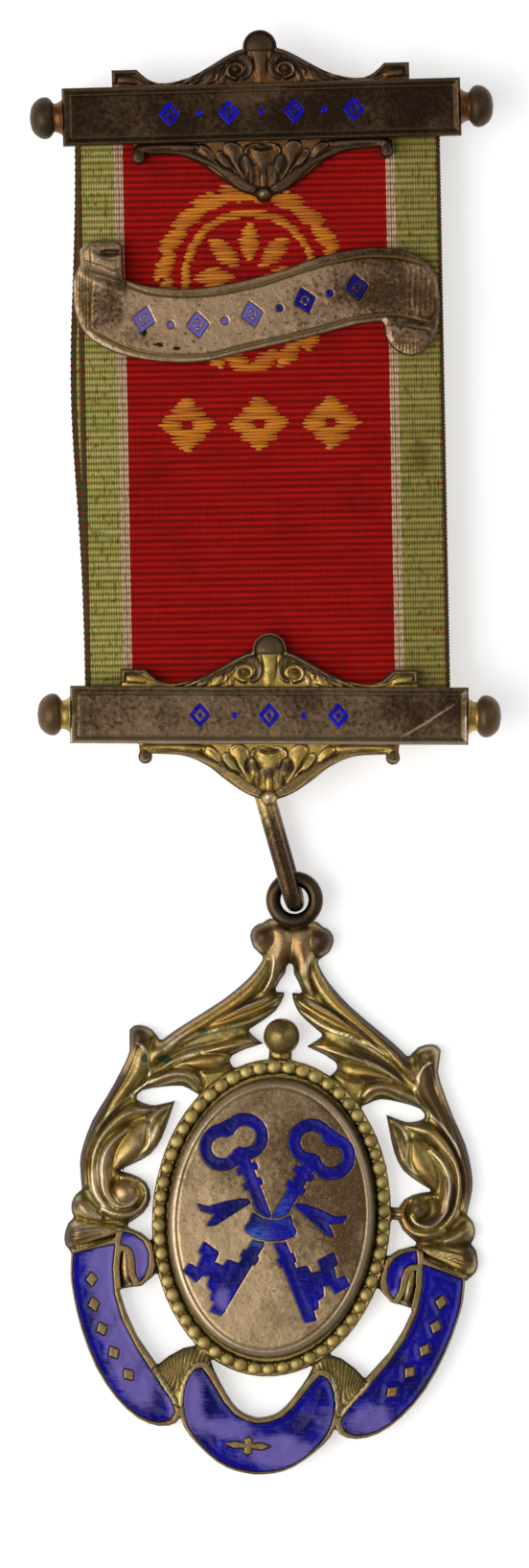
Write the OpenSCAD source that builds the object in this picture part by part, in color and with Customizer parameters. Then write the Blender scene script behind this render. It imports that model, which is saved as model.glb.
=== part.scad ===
// Fraternal breast jewel: two cast bars, a woven ribbon with a scroll clasp, and an enamelled oval pendant.
// It lies on its back: +Z leaves the face and +Y runs from the pendant to the brooch bar. Millimetres.

/* [Ribbon] */
// Width of the woven ribbon
ribbon_width = 38; // [34:0.5:39]
// Thickness of one layer of the ribbon
cloth = 1.0; // [0.8:0.1:1.4]
// Distance between the two rods that hold the ribbon
ribbon_drop = 62.8; // [50:0.2:80]
// Lean of the ribbon in degrees, counterclockwise from above
ribbon_lean = 1.07; // [-3:0.01:3]

/* [Bars] */
// Length of a bar's plate, without its finials
bar_length = 41.5; // [40:0.5:46]
// Height of a bar's plate on the chest
bar_height = 6.0; // [5:0.1:8]
// Thickness of a bar's plate
bar_thickness = 2.2; // [1.6:0.1:3]
// Lean of the top bar in degrees
top_bar_lean = 1.6; // [-4:0.1:4]
// Lean of the bottom bar in degrees
bottom_bar_lean = -0.25; // [-4:0.05:4]
// Diameter of the rod inside the ribbon's loop
rod_diameter = 1.0; // [0.8:0.1:1.4]

/* [Brooch pin] */
// Height of the hinge block and the catch behind the top bar
pin_height = 1.5; // [1.2:0.1:2.5]
// Diameter of the pin's wire
pin_wire = 0.9; // [0.7:0.1:1.2]

/* [Link] */
// Diameter of the link's wire
link_wire = 1.75; // [1.2:0.05:2]
// Twist of the link about its own length, in degrees
link_twist = 6; // [0:1:30]

/* [Pendant] */
// Lean of the pendant in degrees
pendant_lean = -3.8; // [-8:0.1:8]
// Half width and half height of the beaded oval
oval = [12.5, 16.65];
// Half width and half height of the ellipse that the beads stand on
bead_path = [11.72, 15.82];
// Number of beads round the oval
beads = 58; // [40:1:64]
// Radius of a bead
bead_radius = 0.6; // [0.4:0.02:0.7]
// Half width and half height of the plaque
plaque = [10.9, 14.7];
// Outside diameter of the bail
bail_diameter = 6.0; // [5:0.1:7]
// Diameter of the bail's hole
bail_hole = 2.9; // [2.4:0.1:3.4]

/* [Enamel] */
// Gap between enamel and the metal round it
enamel_gap = 0.05; // [0.03:0.01:0.1]
// Depth of the enamel in the bars, the banner and the plaque
enamel_depth = 0.35; // [0.2:0.05:0.6]

/* [Hidden] */
// Moves the middle of the whole outline to the origin.
middle = [0.0, 0.01];

// Heights, from the surface up: brooch pin, back plate, the ribbon's loop, then the face of the bars.
back_thickness = 0.7;
loop_gap = rod_diameter + 0.2;
rod_z = pin_height + back_thickness + 0.4 + cloth + loop_gap / 2;
ribbon_top = rod_z + loop_gap / 2 + cloth;
face_z = ribbon_top + 0.1;
plate_top = face_z + bar_thickness;

// Places of the pieces: the middle of each.
top_bar_at = [-0.41, 66.8];
bottom_bar_at = [0.4, 4.0];
ribbon_at = [-0.3, 35.4];
pendant_at = [0.63, -48.5];
link_top = [-0.75, -2.0];
link_bottom = [3.0, -15.2];

// Relief of the castings.
cast_base = 0.9;
pendant_base = 1.6;
tray_rim = 2.6;
tray_enamel_top = 2.5;

silver = [0.55, 0.5, 0.44];
gilt = [0.62, 0.52, 0.3];
blue = [0.1, 0.08, 0.6];
cloth_red = [0.6, 0.08, 0.08];

// Curves

// One point of a smooth span from b to c, with a and d as its neighbours.
function span(a, b, c, d, t) =
    0.5 * (2 * b + (c - a) * t + (2 * a - 5 * b + 4 * c - d) * t * t + (3 * b - a - 3 * c + d) * t * t * t);

// A smooth line through the rows of a table, with this many steps to a span.
function curve(rows, steps = 3) = let (last = len(rows) - 1) [
    for (i = [0:last - 1], k = [0:steps - 1])
        span(rows[max(i - 1, 0)], rows[i], rows[i + 1], rows[min(i + 2, last)], k / steps),
    rows[last]
];

function unit(v) = v / norm(v);

// The left-hand normal of a line at row i.
function normal(rows, i) = let (
    a = rows[max(i - 1, 0)], b = rows[min(i + 1, len(rows) - 1)], d = unit([b.x - a.x, b.y - a.y])
) [-d.y, d.x];

// A line moved sideways: to its left for a positive distance.
function beside(rows, distance) = [
    for (i = [0:len(rows) - 1]) [rows[i].x, rows[i].y] + distance * normal(rows, i)
];

function reversed(rows) = [for (i = [len(rows) - 1:-1:0]) rows[i]];

// A closed band between two distances to the left of a line.
function band(rows, from, to) = concat(beside(rows, from), reversed(beside(rows, to)));

// Twice the signed area of a closed outline.
function twice_area(p) = let (n = len(p)) [
    for (i = 0, s = 0; i <= n; s = i < n ? s + p[i].x * p[(i + 1) % n].y - p[(i + 1) % n].x * p[i].y : s, i = i + 1) s
][n];

// An outline without repeated points.
function clean(p) = let (n = len(p)) [for (i = [0:n - 1]) if (norm(p[i] - p[(i + n - 1) % n]) > 0.02) p[i]];

// The length of a line up to each of its rows.
function lengths(p) = let (n = len(p)) [for (i = 0, s = 0; i < n; s = i < n - 1 ? s + norm(p[i + 1] - p[i]) : s, i = i + 1) s];

// The row of a rising list that is next to a value, found by halving.
function lookup_row(list, value, low = 0, high = -1) = let (top = high < 0 ? len(list) - 1 : high, mid = floor((low + top) / 2))
    top - low <= 1 ? low : (list[mid] <= value ? lookup_row(list, value, mid, top) : lookup_row(list, value, low, mid));

// A closed outline grown outwards by g on every side.
function grown(rows, g) = let (p = clean(rows), n = len(p), s = sign(twice_area(p))) [
    for (i = [0:n - 1]) let (
        d1 = unit(p[i] - p[(i + n - 1) % n]), d2 = unit(p[(i + 1) % n] - p[i]),
        n1 = [d1.y, -d1.x], n2 = [d2.y, -d2.x]
    ) p[i] + s * g * (n1 + n2) / (1 + n1 * n2)
];

// A whole outline from its right half, which starts and ends on the middle line.
function whole(half) = clean(concat(half, [for (p = reversed(half)) if (p.x > 0.01) [-p.x, p.y]]));

function ellipse(half, n) = [for (i = [0:n - 1]) [half.x * cos(360 * i / n), half.y * sin(360 * i / n)]];

// Relief

// A cast ridge along a line. Columns of rows: x, y, half width, height above the base.
// crown is the width of its flat top as a share of its whole width.
module ridge(rows, base, steps = 1, crown = 0.3, fullness = 1.35) {
    p = curve(rows, steps);
    n = len(p);
    sink = 0.35;
    points = [
        for (i = [0:n - 1]) let (at = [p[i][0], p[i][1]], side = normal(p, i), w = fullness * p[i][2], h = p[i][3]) each [
            [each at - w * side, base - sink],
            [each at - crown * w * side, base + h],
            [each at + crown * w * side, base + h],
            [each at + w * side, base - sink]
        ]
    ];
    m = 4;
    walls = [
        for (i = [0:n - 2], k = [0:m - 1]) let (a = i * m + k, b = i * m + (k + 1) % m) each
            [[a, b, a + m], [b, b + m, a + m]]
    ];
    ends = [
        for (k = [1:m - 2]) each [[0, k + 1, k], [(n - 1) * m, (n - 1) * m + k, (n - 1) * m + k + 1]]
    ];
    polyhedron(points, concat(walls, ends));
}

// A round cast boss that stands on the base plane.
module boss(at, r, height, base, sides = 10) {
    translate([at.x, at.y, base - 0.25])
        hull() {
            cylinder(h = 0.25, r = r, $fn = sides);
            cylinder(h = 0.25 + 0.6 * height, r = 0.8 * r, $fn = sides);
            cylinder(h = 0.25 + height, r = 0.4 * r, $fn = sides);
        }
}

module both_halves() {
    children();
    mirror([1, 0, 0]) children();
}

// Enamel motifs

lozenge = [1.15, 1.35];
lozenge_heart = [0.6, 0.72];
dot_radius = 0.34;

function rhombus(half) = [[half.x, 0], [0, half.y], [-half.x, 0], [0, -half.y]];

// A lozenge ring with a dot in its heart, grown by g.
module lozenge_motif(g = 0) {
    difference() {
        polygon(grown(rhombus(lozenge), g));
        polygon(grown(rhombus(lozenge_heart), -g));
    }
    circle(r = 0.28 + g, $fn = 8);
}

module dot_motif(g = 0) circle(r = dot_radius + g, $fn = 8);

// Motifs along a bar: lozenges at these places, and dots between them.
module bar_motifs(lozenges, dots, g = 0) {
    for (x = lozenges) translate([x, 0]) lozenge_motif(g);
    for (x = dots) translate([x, 0]) dot_motif(g);
}

top_lozenges = [-9.6, -3.4, 3.4, 9.6];
top_dots = [-6.5, 0, 6.5];
bottom_lozenges = [-7.2, 0, 7.2];
bottom_dots = [-3.6, 3.6];

// Bars

// Upper edge of the crest's right half, above the plate: x, y.
crest_slope = [[1.2, 3.75], [2.4, 3.5], [3.9, 2.75], [6.5, 1.25], [8.6, 0.5], [10.6, 0.35], [11.8, 0.8], [12.9, 1.8]];
crest_knob = [0, 3.8];
crest_knob_radius = 1.77;
crest_block = 15.5;

// Lower edge of the drop ornament's right half, below the plate: x, y.
drop_slope = [[0.6, -5.8], [1.85, -5.4], [3.15, -4.7], [4.95, -3.4], [6.05, -2.5], [7.1, -1.9], [8.0, -1.5],
    [9.4, -1.15], [11.7, -1.05]];
drop_curl = [12.9, -1.35];
drop_curl_radius = 0.75;
drop_tip = [0, -5.5];

// Ridges of the crest's right half: x, y, half width, height.
crest_rim = [[1.3, 3.4, 0.35, 0.7], [2.5, 3.2, 0.3, 0.7], [3.9, 2.45, 0.3, 0.7], [6.5, 0.98, 0.28, 0.65],
    [8.6, 0.25, 0.25, 0.6], [10.6, 0.1, 0.25, 0.6], [12.0, 0.65, 0.28, 0.65], [13.0, 1.5, 0.28, 0.65],
    [15.2, 1.5, 0.28, 0.65]];
crest_volute = [[1.35, 2.9, 0.22, 0.45], [2.5, 2.65, 0.28, 0.6], [3.35, 1.9, 0.28, 0.6], [3.1, 0.95, 0.26, 0.6],
    [2.3, 0.65, 0.24, 0.55], [1.65, 1.15, 0.22, 0.5], [1.8, 1.85, 0.18, 0.45], [2.35, 1.85, 0.15, 0.35]];
crest_fronds = [
    [[3.9, 2.15, 0.2, 0.35], [4.45, 1.2, 0.38, 0.6], [4.3, 0.25, 0.3, 0.45]],
    [[5.1, 1.6, 0.2, 0.35], [5.7, 0.85, 0.36, 0.55], [5.5, 0.2, 0.28, 0.4]],
    [[6.4, 0.95, 0.2, 0.3], [7.0, 0.45, 0.3, 0.5], [6.8, 0.1, 0.25, 0.35]]
];
crest_calyx = [[0, 0.15, 0.4, 0.4], [0, 1.4, 0.45, 0.5], [0, 2.4, 0.7, 0.55], [0, 3.1, 1.25, 0.5]];

// Ridges of the drop ornament's right half: x, y, half width, height.
drop_rim = [[0.7, -5.35, 0.3, 0.55], [1.75, -5.0, 0.3, 0.6], [3.0, -4.35, 0.3, 0.65], [4.75, -3.05, 0.3, 0.65],
    [6.8, -1.6, 0.28, 0.65], [8.0, -1.1, 0.28, 0.6], [9.6, -0.75, 0.26, 0.6], [11.8, -0.65, 0.26, 0.6],
    [13.2, -0.5, 0.25, 0.6]];
drop_leaves = [
    [[1.2, -4.5, 0.25, 0.4], [2.0, -3.4, 0.5, 0.7], [2.2, -2.3, 0.38, 0.55], [1.8, -1.5, 0.2, 0.3]],
    [[2.7, -4.0, 0.22, 0.35], [3.25, -2.7, 0.5, 0.65], [3.1, -1.4, 0.35, 0.45]],
    [[4.1, -2.9, 0.22, 0.35], [4.45, -1.8, 0.45, 0.6], [4.1, -0.6, 0.35, 0.45]],
    [[5.6, -1.9, 0.2, 0.3], [5.75, -1.1, 0.4, 0.55], [5.4, -0.3, 0.3, 0.4]],
    [[7.1, -1.0, 0.18, 0.3], [7.0, -0.6, 0.3, 0.45], [6.7, -0.15, 0.25, 0.35]]
];
drop_cup = [[0, -2.6, 0.5, 0.5], [0, -1.7, 0.95, 0.6], [0, -0.9, 1.3, 0.5], [0, -0.35, 1.5, 0.4]];
drop_spike = [[0, -3.1, 0.2, 0.3], [0, -3.9, 0.42, 0.6], [0, -4.7, 0.2, 0.4]];

// Half of a turned finial: distance from the plate's end, radius.
finial = [[0, 2.0], [0.5, 1.45], [1.1, 1.3], [1.6, 2.2], [2.35, 2.05], [3.0, 1.45], [3.37, 0.5]];

module finials() {
    into = 0.27;
    for (s = [-1, 1])
        translate([s * (bar_length / 2 - into), 0, face_z + 1.13])
            rotate([0, s * 90, 0])
                rotate_extrude($fn = 14)
                    polygon(concat([[0, 0], [1.9, 0]], [for (p = finial) [p.y, p.x + into + 0.03]], [[0, 3.7]]));
}

module crest() {
    translate([0, bar_height / 2, face_z]) {
        translate([0, 0, 0.04]) linear_extrude(cast_base - 0.04) union() {
            polygon(whole(concat([[0, 4.4]], curve(crest_slope, 2), [[crest_block, 1.8], [crest_block, -0.5], [0, -0.5]])));
            translate(crest_knob) circle(r = crest_knob_radius, $fn = 20);
        }
        both_halves() {
            ridge(crest_rim, cast_base);
            ridge(crest_volute, cast_base);
            for (f = crest_fronds) ridge(f, cast_base);
        }
        ridge(crest_calyx, cast_base);
        boss(crest_knob, crest_knob_radius - 0.05, 1.5, cast_base, 14);
    }
}

module drop_ornament() {
    translate([0, -bar_height / 2, face_z]) {
        translate([0, 0, 0.04]) linear_extrude(cast_base - 0.04) union() {
            polygon(whole(concat([[0, -5.8]], curve(drop_slope, 2), [[13.5, -0.9], [13.6, 0.5], [0, 0.5]])));
            translate(drop_tip) circle(r = 0.9, $fn = 12);
            for (s = [-1, 1]) translate([s * drop_curl.x, drop_curl.y]) circle(r = drop_curl_radius, $fn = 12);
        }
        both_halves() {
            boss(drop_curl, drop_curl_radius - 0.04, 0.75, cast_base, 8);
            ridge(drop_rim, cast_base);
            for (f = drop_leaves) ridge(f, cast_base);
        }
        ridge(drop_cup, cast_base);
        ridge(drop_spike, cast_base);
        boss(drop_tip, 0.61, 0.7, cast_base, 8);
    }
}

// The box plate: a raised lip, and a line engraved inside it.
module plate() {
    lip = 0.35;
    line_in = 0.65;
    line_w = 0.18;
    difference() {
        translate([-bar_length / 2, -bar_height / 2, face_z]) cube([bar_length, bar_height, bar_thickness]);
        translate([-bar_length / 2 + lip, -bar_height / 2 + lip, plate_top - 0.2])
            cube([bar_length - 2 * lip, bar_height - 2 * lip, 1]);
        difference() {
            translate([-bar_length / 2 + line_in, -bar_height / 2 + line_in, plate_top - 0.3])
                cube([bar_length - 2 * line_in, bar_height - 2 * line_in, 1]);
            translate([-bar_length / 2 + line_in + line_w, -bar_height / 2 + line_in + line_w, plate_top - 0.4])
                cube([bar_length - 2 * line_in - 2 * line_w, bar_height - 2 * line_in - 2 * line_w, 2]);
        }
    }
}

// How far a rod lies toward the middle of the ribbon, so that the loop's ends, which lean differently, clear it.
function rod_inset(lean) = ribbon_width / 2 * abs(sin(ribbon_lean - lean));

// Back plate, cheeks and rod: the ribbon's loop passes between them.
module ribbon_cage(rod_shift) {
    cheek = 0.9;
    deep = 4.6;
    for (s = [-1, 1])
        translate([s * (bar_length / 2 - cheek / 2 - 0.1) - cheek / 2, -deep / 2, pin_height])
            cube([cheek, deep, face_z - pin_height + 0.5]);
    translate([-bar_length / 2 + 0.1, -deep / 2, pin_height]) cube([bar_length - 0.2, deep, back_thickness]);
    translate([-bar_length / 2 + 0.3, rod_shift, rod_z])
        rotate([0, 90, 0]) cylinder(h = bar_length - 0.6, d = rod_diameter, $fn = 10);
}

module bar(lozenges, dots, rod_shift) {
    difference() {
        plate();
        translate([0, 0, plate_top - 0.2 - enamel_depth])
            linear_extrude(2) bar_motifs(lozenges, dots, enamel_gap);
    }
    crest();
    drop_ornament();
    finials();
    ribbon_cage(rod_shift);
}

module bar_enamel(lozenges, dots) {
    translate([0, 0, plate_top - 0.2 - enamel_depth + enamel_gap])
        linear_extrude(enamel_depth - enamel_gap) bar_motifs(lozenges, dots);
}

module at_top_bar() translate([top_bar_at.x, top_bar_at.y, 0]) rotate(top_bar_lean) children();
module at_bottom_bar() translate([bottom_bar_at.x, bottom_bar_at.y, 0]) rotate(bottom_bar_lean) children();

module top_bar() color(silver) at_top_bar() bar(top_lozenges, top_dots, -rod_inset(top_bar_lean));
module top_bar_enamel() color(blue) at_top_bar() bar_enamel(top_lozenges, top_dots);

// The eye lies flat behind the tip of the bottom bar's ornament, and a post joins it to the casting.
eye_z = 2.9;
eye_thickness = 1.5;
eye_hole = 1.3;
eye_width = 0.9;

module link_eye() {
    translate([link_top.x, link_top.y, eye_z - eye_thickness / 2])
        difference() {
            union() {
                cylinder(h = eye_thickness, r = eye_hole + eye_width, $fn = 20);
                translate([-1.0, eye_hole, 0]) cube([2.0, eye_width, face_z + 0.4 - eye_z + eye_thickness / 2]);
            }
            translate([0, 0, -1]) cylinder(h = eye_thickness + 2, r = eye_hole, $fn = 16);
        }
}

module bottom_bar() color(silver) {
    at_bottom_bar() bar(bottom_lozenges, bottom_dots, rod_inset(bottom_bar_lean));
    link_eye();
}
module bottom_bar_enamel() color(blue) at_bottom_bar() bar_enamel(bottom_lozenges, bottom_dots);

// Hinge block, wire and catch in one piece behind the top bar's back plate.
module brooch_pin() color(silver) at_top_bar() {
    top = pin_height - 0.05;
    translate([-16.5, -1.5, 0]) cube([3, 3, top]);
    translate([13.8, -1.5, 0]) cube([2.4, 3, top]);
    translate([-15, 0, 0.75]) rotate([0, 90, 0]) cylinder(h = 30, d = pin_wire, $fn = 24);
}

// Ribbon

// The clasp's two rivets: places along and across the ribbon.
rivets = [[-11.0, 44.8], [10.0, 48.3]];
rivet_radius = 0.5;

module loop_shape(half_gap, r) {
    translate([-half_gap, -r]) square([2 * half_gap, 2 * r]);
    for (s = [-1, 1]) translate([s * half_gap, 0]) circle(r = r, $fn = 32);
}

module ribbon() color(cloth_red) difference() {
    translate([ribbon_at.x, ribbon_at.y, rod_z]) rotate(ribbon_lean)
        translate([-ribbon_width / 2, 0, 0]) rotate([90, 0, 90]) linear_extrude(ribbon_width)
            difference() {
                loop_shape(ribbon_drop / 2, loop_gap / 2 + cloth);
                loop_shape(ribbon_drop / 2, loop_gap / 2);
            }
    for (p = rivets) translate([p.x, p.y, rod_z]) cylinder(h = 5, r = rivet_radius + 0.15, $fn = 24);
}

// Scroll clasp

// Upper and lower edge of the banner from left to right: x, y.
banner_upper = [[-18.6, 52.2], [-16.2, 50.2], [-13.2, 48.9], [-10.4, 48.5], [-7.8, 48.4], [-4.6, 48.8], [-1.6, 49.45],
    [2.3, 50.5], [4.1, 51.3], [7.9, 52.3], [11.1, 52.75], [13.7, 52.6], [15.6, 52.0], [16.9, 51.0], [17.8, 49.7]];
banner_lower = [[-20.1, 49.4], [-19.95, 46.6], [-19.3, 44.55], [-18.1, 43.1], [-15.6, 41.75], [-12.6, 41.0], [-9.0, 40.7],
    [-6.0, 40.9], [-2.4, 41.75], [2.85, 42.95], [6.0, 43.75], [8.6, 44.45], [10.5, 44.8], [12.1, 44.96]];
banner_thickness = 1.2;
roll_height = 2.5;
banner_line = curve([[-13.9, 45.5], [-10.6, 44.75], [-7.8, 44.6], [-4.6, 45.0], [-1.6, 45.7], [2.3, 46.6],
    [4.1, 47.2], [7.9, 48.25], [11.1, 48.85]], 16);
banner_run = lengths(banner_line);

module banner_motifs(g = 0) {
    for (i = [0:8]) let (k = lookup_row(banner_run, (0.5 + i) / 9 * banner_run[len(banner_run) - 1]), n = normal(banner_line, k))
        translate(banner_line[k]) rotate(atan2(-n.x, n.y)) {
            if (i % 2 == 0) lozenge_motif(g); else dot_motif(g);
        }
}

// The turned end at the lower right, which stands a little higher than the band.
banner_turn_edge = [[17.8, 49.7], [18.15, 47.5], [18.05, 45.0], [17.5, 43.3], [16.6, 42.0], [15.35, 41.45],
    [14.1, 41.7], [13.2, 42.4], [12.5, 43.4], [12.35, 44.6], [12.1, 44.96]];

module banner_plate() {
    linear_extrude(banner_thickness)
        polygon(clean(concat(curve(banner_upper, 2), curve(banner_turn_edge, 1), reversed(curve(banner_lower, 2)))));
    linear_extrude(banner_thickness + 0.5)
        polygon(clean(concat(curve(banner_turn_edge, 2), [[13.2, 45.6], [14.8, 47.2], [16.4, 49.2]])));
}

module scroll_clasp() {
    translate([0, 0, face_z]) {
        difference() {
            banner_plate();
            translate([0, 0, banner_thickness - enamel_depth]) linear_extrude(2) banner_motifs(enamel_gap);
            translate([0, 0, banner_thickness - 0.12]) linear_extrude(2) {
                polygon(band(curve(banner_upper, 2), -0.9, -0.7));
                polygon(band(curve(banner_lower, 2), 0.7, 0.9));
            }
        }
        // The rolled end at the upper left, open at its top.
        difference() {
            translate([0, 0, roll_height / 2]) roll([-17.05, 50.9], 5.1, 4.8, -3);
            translate([0, 0, roll_height / 2 + 0.1]) roll([-16.6, 53.0], 3.4, 1.7, -3, 0.66);
        }
    }
    for (p = rivets) translate([p.x, p.y, rod_z - 0.15]) {
        cylinder(h = face_z + 0.4 - rod_z + 0.15, r = rivet_radius, $fn = 14);
        cylinder(h = 0.6, r = 1.1, $fn = 14);
    }
}

// A flattened roll whose length runs along Y: its middle, width and length, turned about Z.
module roll(at, width, length, turn, share = 1) {
    r = roll_height / 2 * share;
    translate([at.x, at.y, 0]) rotate(-turn) rotate([90, 0, 0])
        hull() for (s = [-1, 1]) translate([s * (width / 2 - r), 0, 0])
            cylinder(h = length, r = r, center = true, $fn = 16);
}

module banner_clasp() color(silver) scroll_clasp();
module banner_enamel() color(blue)
    translate([0, 0, face_z + banner_thickness - enamel_depth + enamel_gap])
        linear_extrude(enamel_depth - enamel_gap) banner_motifs();

// Link

// An oval ring of round wire. It stands on edge and threads the eye and the bail.
module link() color(gilt) {
    reach = link_bottom - link_top;
    height = 3.85;
    arc = 8;
    line = concat(
        [for (i = [0:arc]) let (a = 90 + 180 * i / arc) [height / 2 * cos(a), height / 2 * sin(a)]],
        [for (i = [0:arc]) let (a = 270 + 180 * i / arc)
            [norm(reach) + height / 2 * cos(a), height / 2 * sin(a)]]
    );
    n = len(line);
    sides = 6;
    r = link_wire / 2;
    points = [
        for (i = [0:n - 1]) let (
            a = line[(i + n - 1) % n], b = line[(i + 1) % n], d = unit([b.x - a.x, b.y - a.y]), out = [d.y, -d.x]
        ) for (k = [0:sides - 1]) let (c = r * cos(360 * k / sides + 30), s = r * sin(360 * k / sides + 30))
            [line[i].x + c * out.x, s, line[i].y + c * out.y]
    ];
    walls = [
        for (i = [0:n - 1], k = [0:sides - 1]) let (
            j = (i + 1) % n, l = (k + 1) % sides, a = i * sides + k, b = i * sides + l, c = j * sides + l, d = j * sides + k
        ) each [[a, b, d], [b, c, d]]
    ];
    translate([link_top.x, link_top.y, eye_z])
        rotate(atan2(reach.y, reach.x)) rotate([link_twist, 0, 0])
            translate([height / 2 - link_wire / 2, 0, 0])
                scale([1 - (height - link_wire) / norm(reach), 1, 1]) polyhedron(points, walls);
}

// Pendant

// Edges of the openwork's right half, from the bail down the outside: x, y.
neck_edge = [[2.5, 31.2], [3.3, 30.6], [4.3, 29.4], [4.0, 28.1], [2.95, 27.2], [3.1, 26.5], [3.8, 25.4], [4.7, 24.35],
    [6.6, 22.55], [9.7, 20.25], [11.4, 19.0], [13.0, 17.65]];
shoulder_edge = [[13.0, 17.65], [14.0, 18.8], [15.4, 19.2], [16.35, 18.6], [16.2, 16.4], [17.0, 14.2], [18.2, 11.6],
    [19.6, 8.9], [20.4, 6.2], [20.6, 4.3], [20.2, 1.6]];
bulge_edge = [[20.2, 1.6], [20.85, 1.0], [21.2, 0.1], [21.1, -0.8], [20.8, -1.4]];
collar_edge = [[20.8, -1.4], [21.4, -2.0], [21.7, -3.2], [21.55, -4.3], [20.65, -5.2]];
collar_back = [[20.65, -5.2], [18.5, -4.2], [16.2, -3.3], [15.2, -2.4], [15.1, -1.6]];
volute_edge = [[15.1, -1.6], [13.6, -0.4], [12.95, 1.2], [13.55, 2.8], [15.2, 3.6], [16.6, 3.8]];
leaf_edge = [[16.6, 3.8], [15.1, 4.6], [13.3, 5.75], [12.2, 7.55], [11.5, 9.9], [11.1, 11.5]];
gap_edge = [[11.1, 11.5], [12.6, 11.05], [13.6, 10.9], [15.1, 11.4], [14.6, 12.35], [12.4, 12.9], [10.4, 13.1],
    [9.25, 12.6]];
lobe_3_edge = [[5.0, 15.2], [5.5, 15.75], [5.65, 16.2], [5.4, 16.65]];
lobe_2_edge = [[5.4, 16.65], [4.2, 17.35], [2.3, 18.1], [3.3, 18.8], [3.95, 19.4]];
lobe_1_edge = [[3.95, 19.4], [2.6, 20.4], [1.2, 21.6], [0.5, 23.0], [0.42, 23.6]];
stem_edge = [[1.5, 23.6], [0.95, 24.8], [0.45, 25.6], [0.35, 26.3], [0, 26.85]];

openwork_outline = concat([[0, 31.3]], curve(neck_edge, 2), curve(shoulder_edge, 2), curve(bulge_edge, 2),
    curve(collar_edge, 2), curve(collar_back, 1), curve(volute_edge, 2), curve(leaf_edge, 2), curve(gap_edge, 2),
    [[8.0, 12.0]], curve(lobe_3_edge, 1), curve(lobe_2_edge, 1), curve(lobe_1_edge, 2), stem_edge);

// Edges of a side streamer from its collar to its tip: x, y.
streamer_outer = [[20.65, -5.0], [20.6, -7.2], [20.2, -9.3], [19.15, -12.8], [17.3, -16.8], [15.0, -19.85], [12.6, -21.8],
    [10.3, -22.5], [8.6, -22.1], [8.0, -21.0]];
streamer_inner = [[8.0, -21.0], [8.1, -20.1], [9.1, -18.6], [11.0, -16.1], [13.2, -13.3], [14.5, -10.9], [15.4, -8.6],
    [15.9, -6.0], [15.9, -3.0]];
streamer_enamel_outer = [[20.35, -5.1], [20.3, -7.3], [19.9, -9.4], [18.85, -12.8], [17.0, -16.7], [14.8, -19.6],
    [12.5, -21.4], [10.4, -22.0], [9.1, -21.6]];
streamer_enamel_inner = [[9.1, -21.6], [8.75, -20.8], [9.2, -19.8], [10.9, -17.6], [13.2, -14.5], [14.9, -11.7],
    [15.9, -9.0], [16.3, -6.2], [16.2, -3.9], [17.9, -4.35], [20.35, -5.1]];
streamer_pads = [[18.3, -7.6, 82], [17.9, -10.2, 74], [16.9, -12.7, 64], [15.5, -15.1, 56], [13.8, -17.3, 48]];

// The fold above the streamer's inner edge, and its enamel.
fold_outline = [[16.4, -2.6], [15.0, -2.0], [13.5, -2.5], [12.35, -3.35], [11.6, -4.4], [11.4, -6.3], [12.0, -7.0],
    [13.1, -8.0], [14.4, -8.3], [15.5, -8.6], [16.6, -6.0]];
fold_enamel = [[15.3, -2.5], [14.2, -2.75], [13.2, -3.4], [12.6, -4.5], [12.55, -5.8], [12.85, -6.9], [13.3, -7.5],
    [13.75, -6.6], [13.9, -5.3], [14.2, -4.3], [14.8, -3.8], [15.5, -3.7]];

// The crescent at the foot, from the oval to the middle and back.
crescent_inner = [[5.35, -15.2], [4.95, -16.3], [3.4, -18.8], [2.2, -20.2], [1.0, -20.8], [0, -21.0]];
crescent_outer = [[0, -26.9], [2, -26.65], [4, -25.85], [6.1, -24.2], [7.7, -22.4], [8.4, -20.2], [8.3, -17.6],
    [7.5, -14.8]];
crescent_enamel_inner = [[0, -21.6], [1.2, -21.4], [2.5, -20.8], [3.7, -19.6], [5.4, -17.1], [6.2, -16.2]];
crescent_enamel_outer = [[6.2, -16.2], [7.0, -16.5], [7.7, -18.0], [7.85, -20.0], [7.2, -22.2], [5.8, -24.0],
    [3.9, -25.5], [2.0, -26.25], [0, -26.5]];
foil_at = [-0.85, -23.9];
foil = [2.75, 1.05];

// The hatched fold between a streamer and the crescent.
hatched_outline = [[7.0, -13.9], [8.3, -14.25], [9.8, -15.2], [11.3, -16.6], [9.4, -19.9], [8.2, -20.3],
    [7.6, -18.0]];

// Ridges of the openwork's right half: x, y, half width, height.
stem_rim = [[2.45, 27.3, 0.35, 1.0], [2.6, 26.2, 0.4, 1.1], [3.3, 25.05, 0.42, 1.2], [4.45, 23.7, 0.42, 1.2],
    [6.15, 22.1, 0.42, 1.2], [9.3, 19.75, 0.42, 1.1], [11.6, 18.0, 0.42, 1.0], [13.4, 16.5, 0.35, 0.7]];
stem_ridge = [[2.0, 29.4, 0.9, 1.3], [1.45, 27.9, 0.8, 1.4], [1.25, 26.3, 0.7, 1.3], [1.9, 24.7, 0.55, 1.1],
    [3.5, 23.3, 0.4, 0.9], [5.6, 21.8, 0.3, 0.7], [8.0, 20.4, 0.2, 0.5]];
lobe_1_top = [[0.65, 23.4, 0.15, 0.35], [2.2, 22.9, 0.28, 0.8], [4.6, 21.9, 0.32, 0.9], [7.4, 20.5, 0.3, 0.8],
    [10.2, 18.9, 0.28, 0.7], [12.4, 17.2, 0.25, 0.6]];
lobe_1_low = [[0.7, 23.1, 0.15, 0.35], [1.35, 22.0, 0.28, 0.8], [2.7, 20.85, 0.32, 0.9], [4.8, 19.9, 0.32, 0.9],
    [7.6, 19.05, 0.32, 0.9], [10.3, 17.9, 0.3, 0.8], [12.7, 16.2, 0.25, 0.6]];
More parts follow.
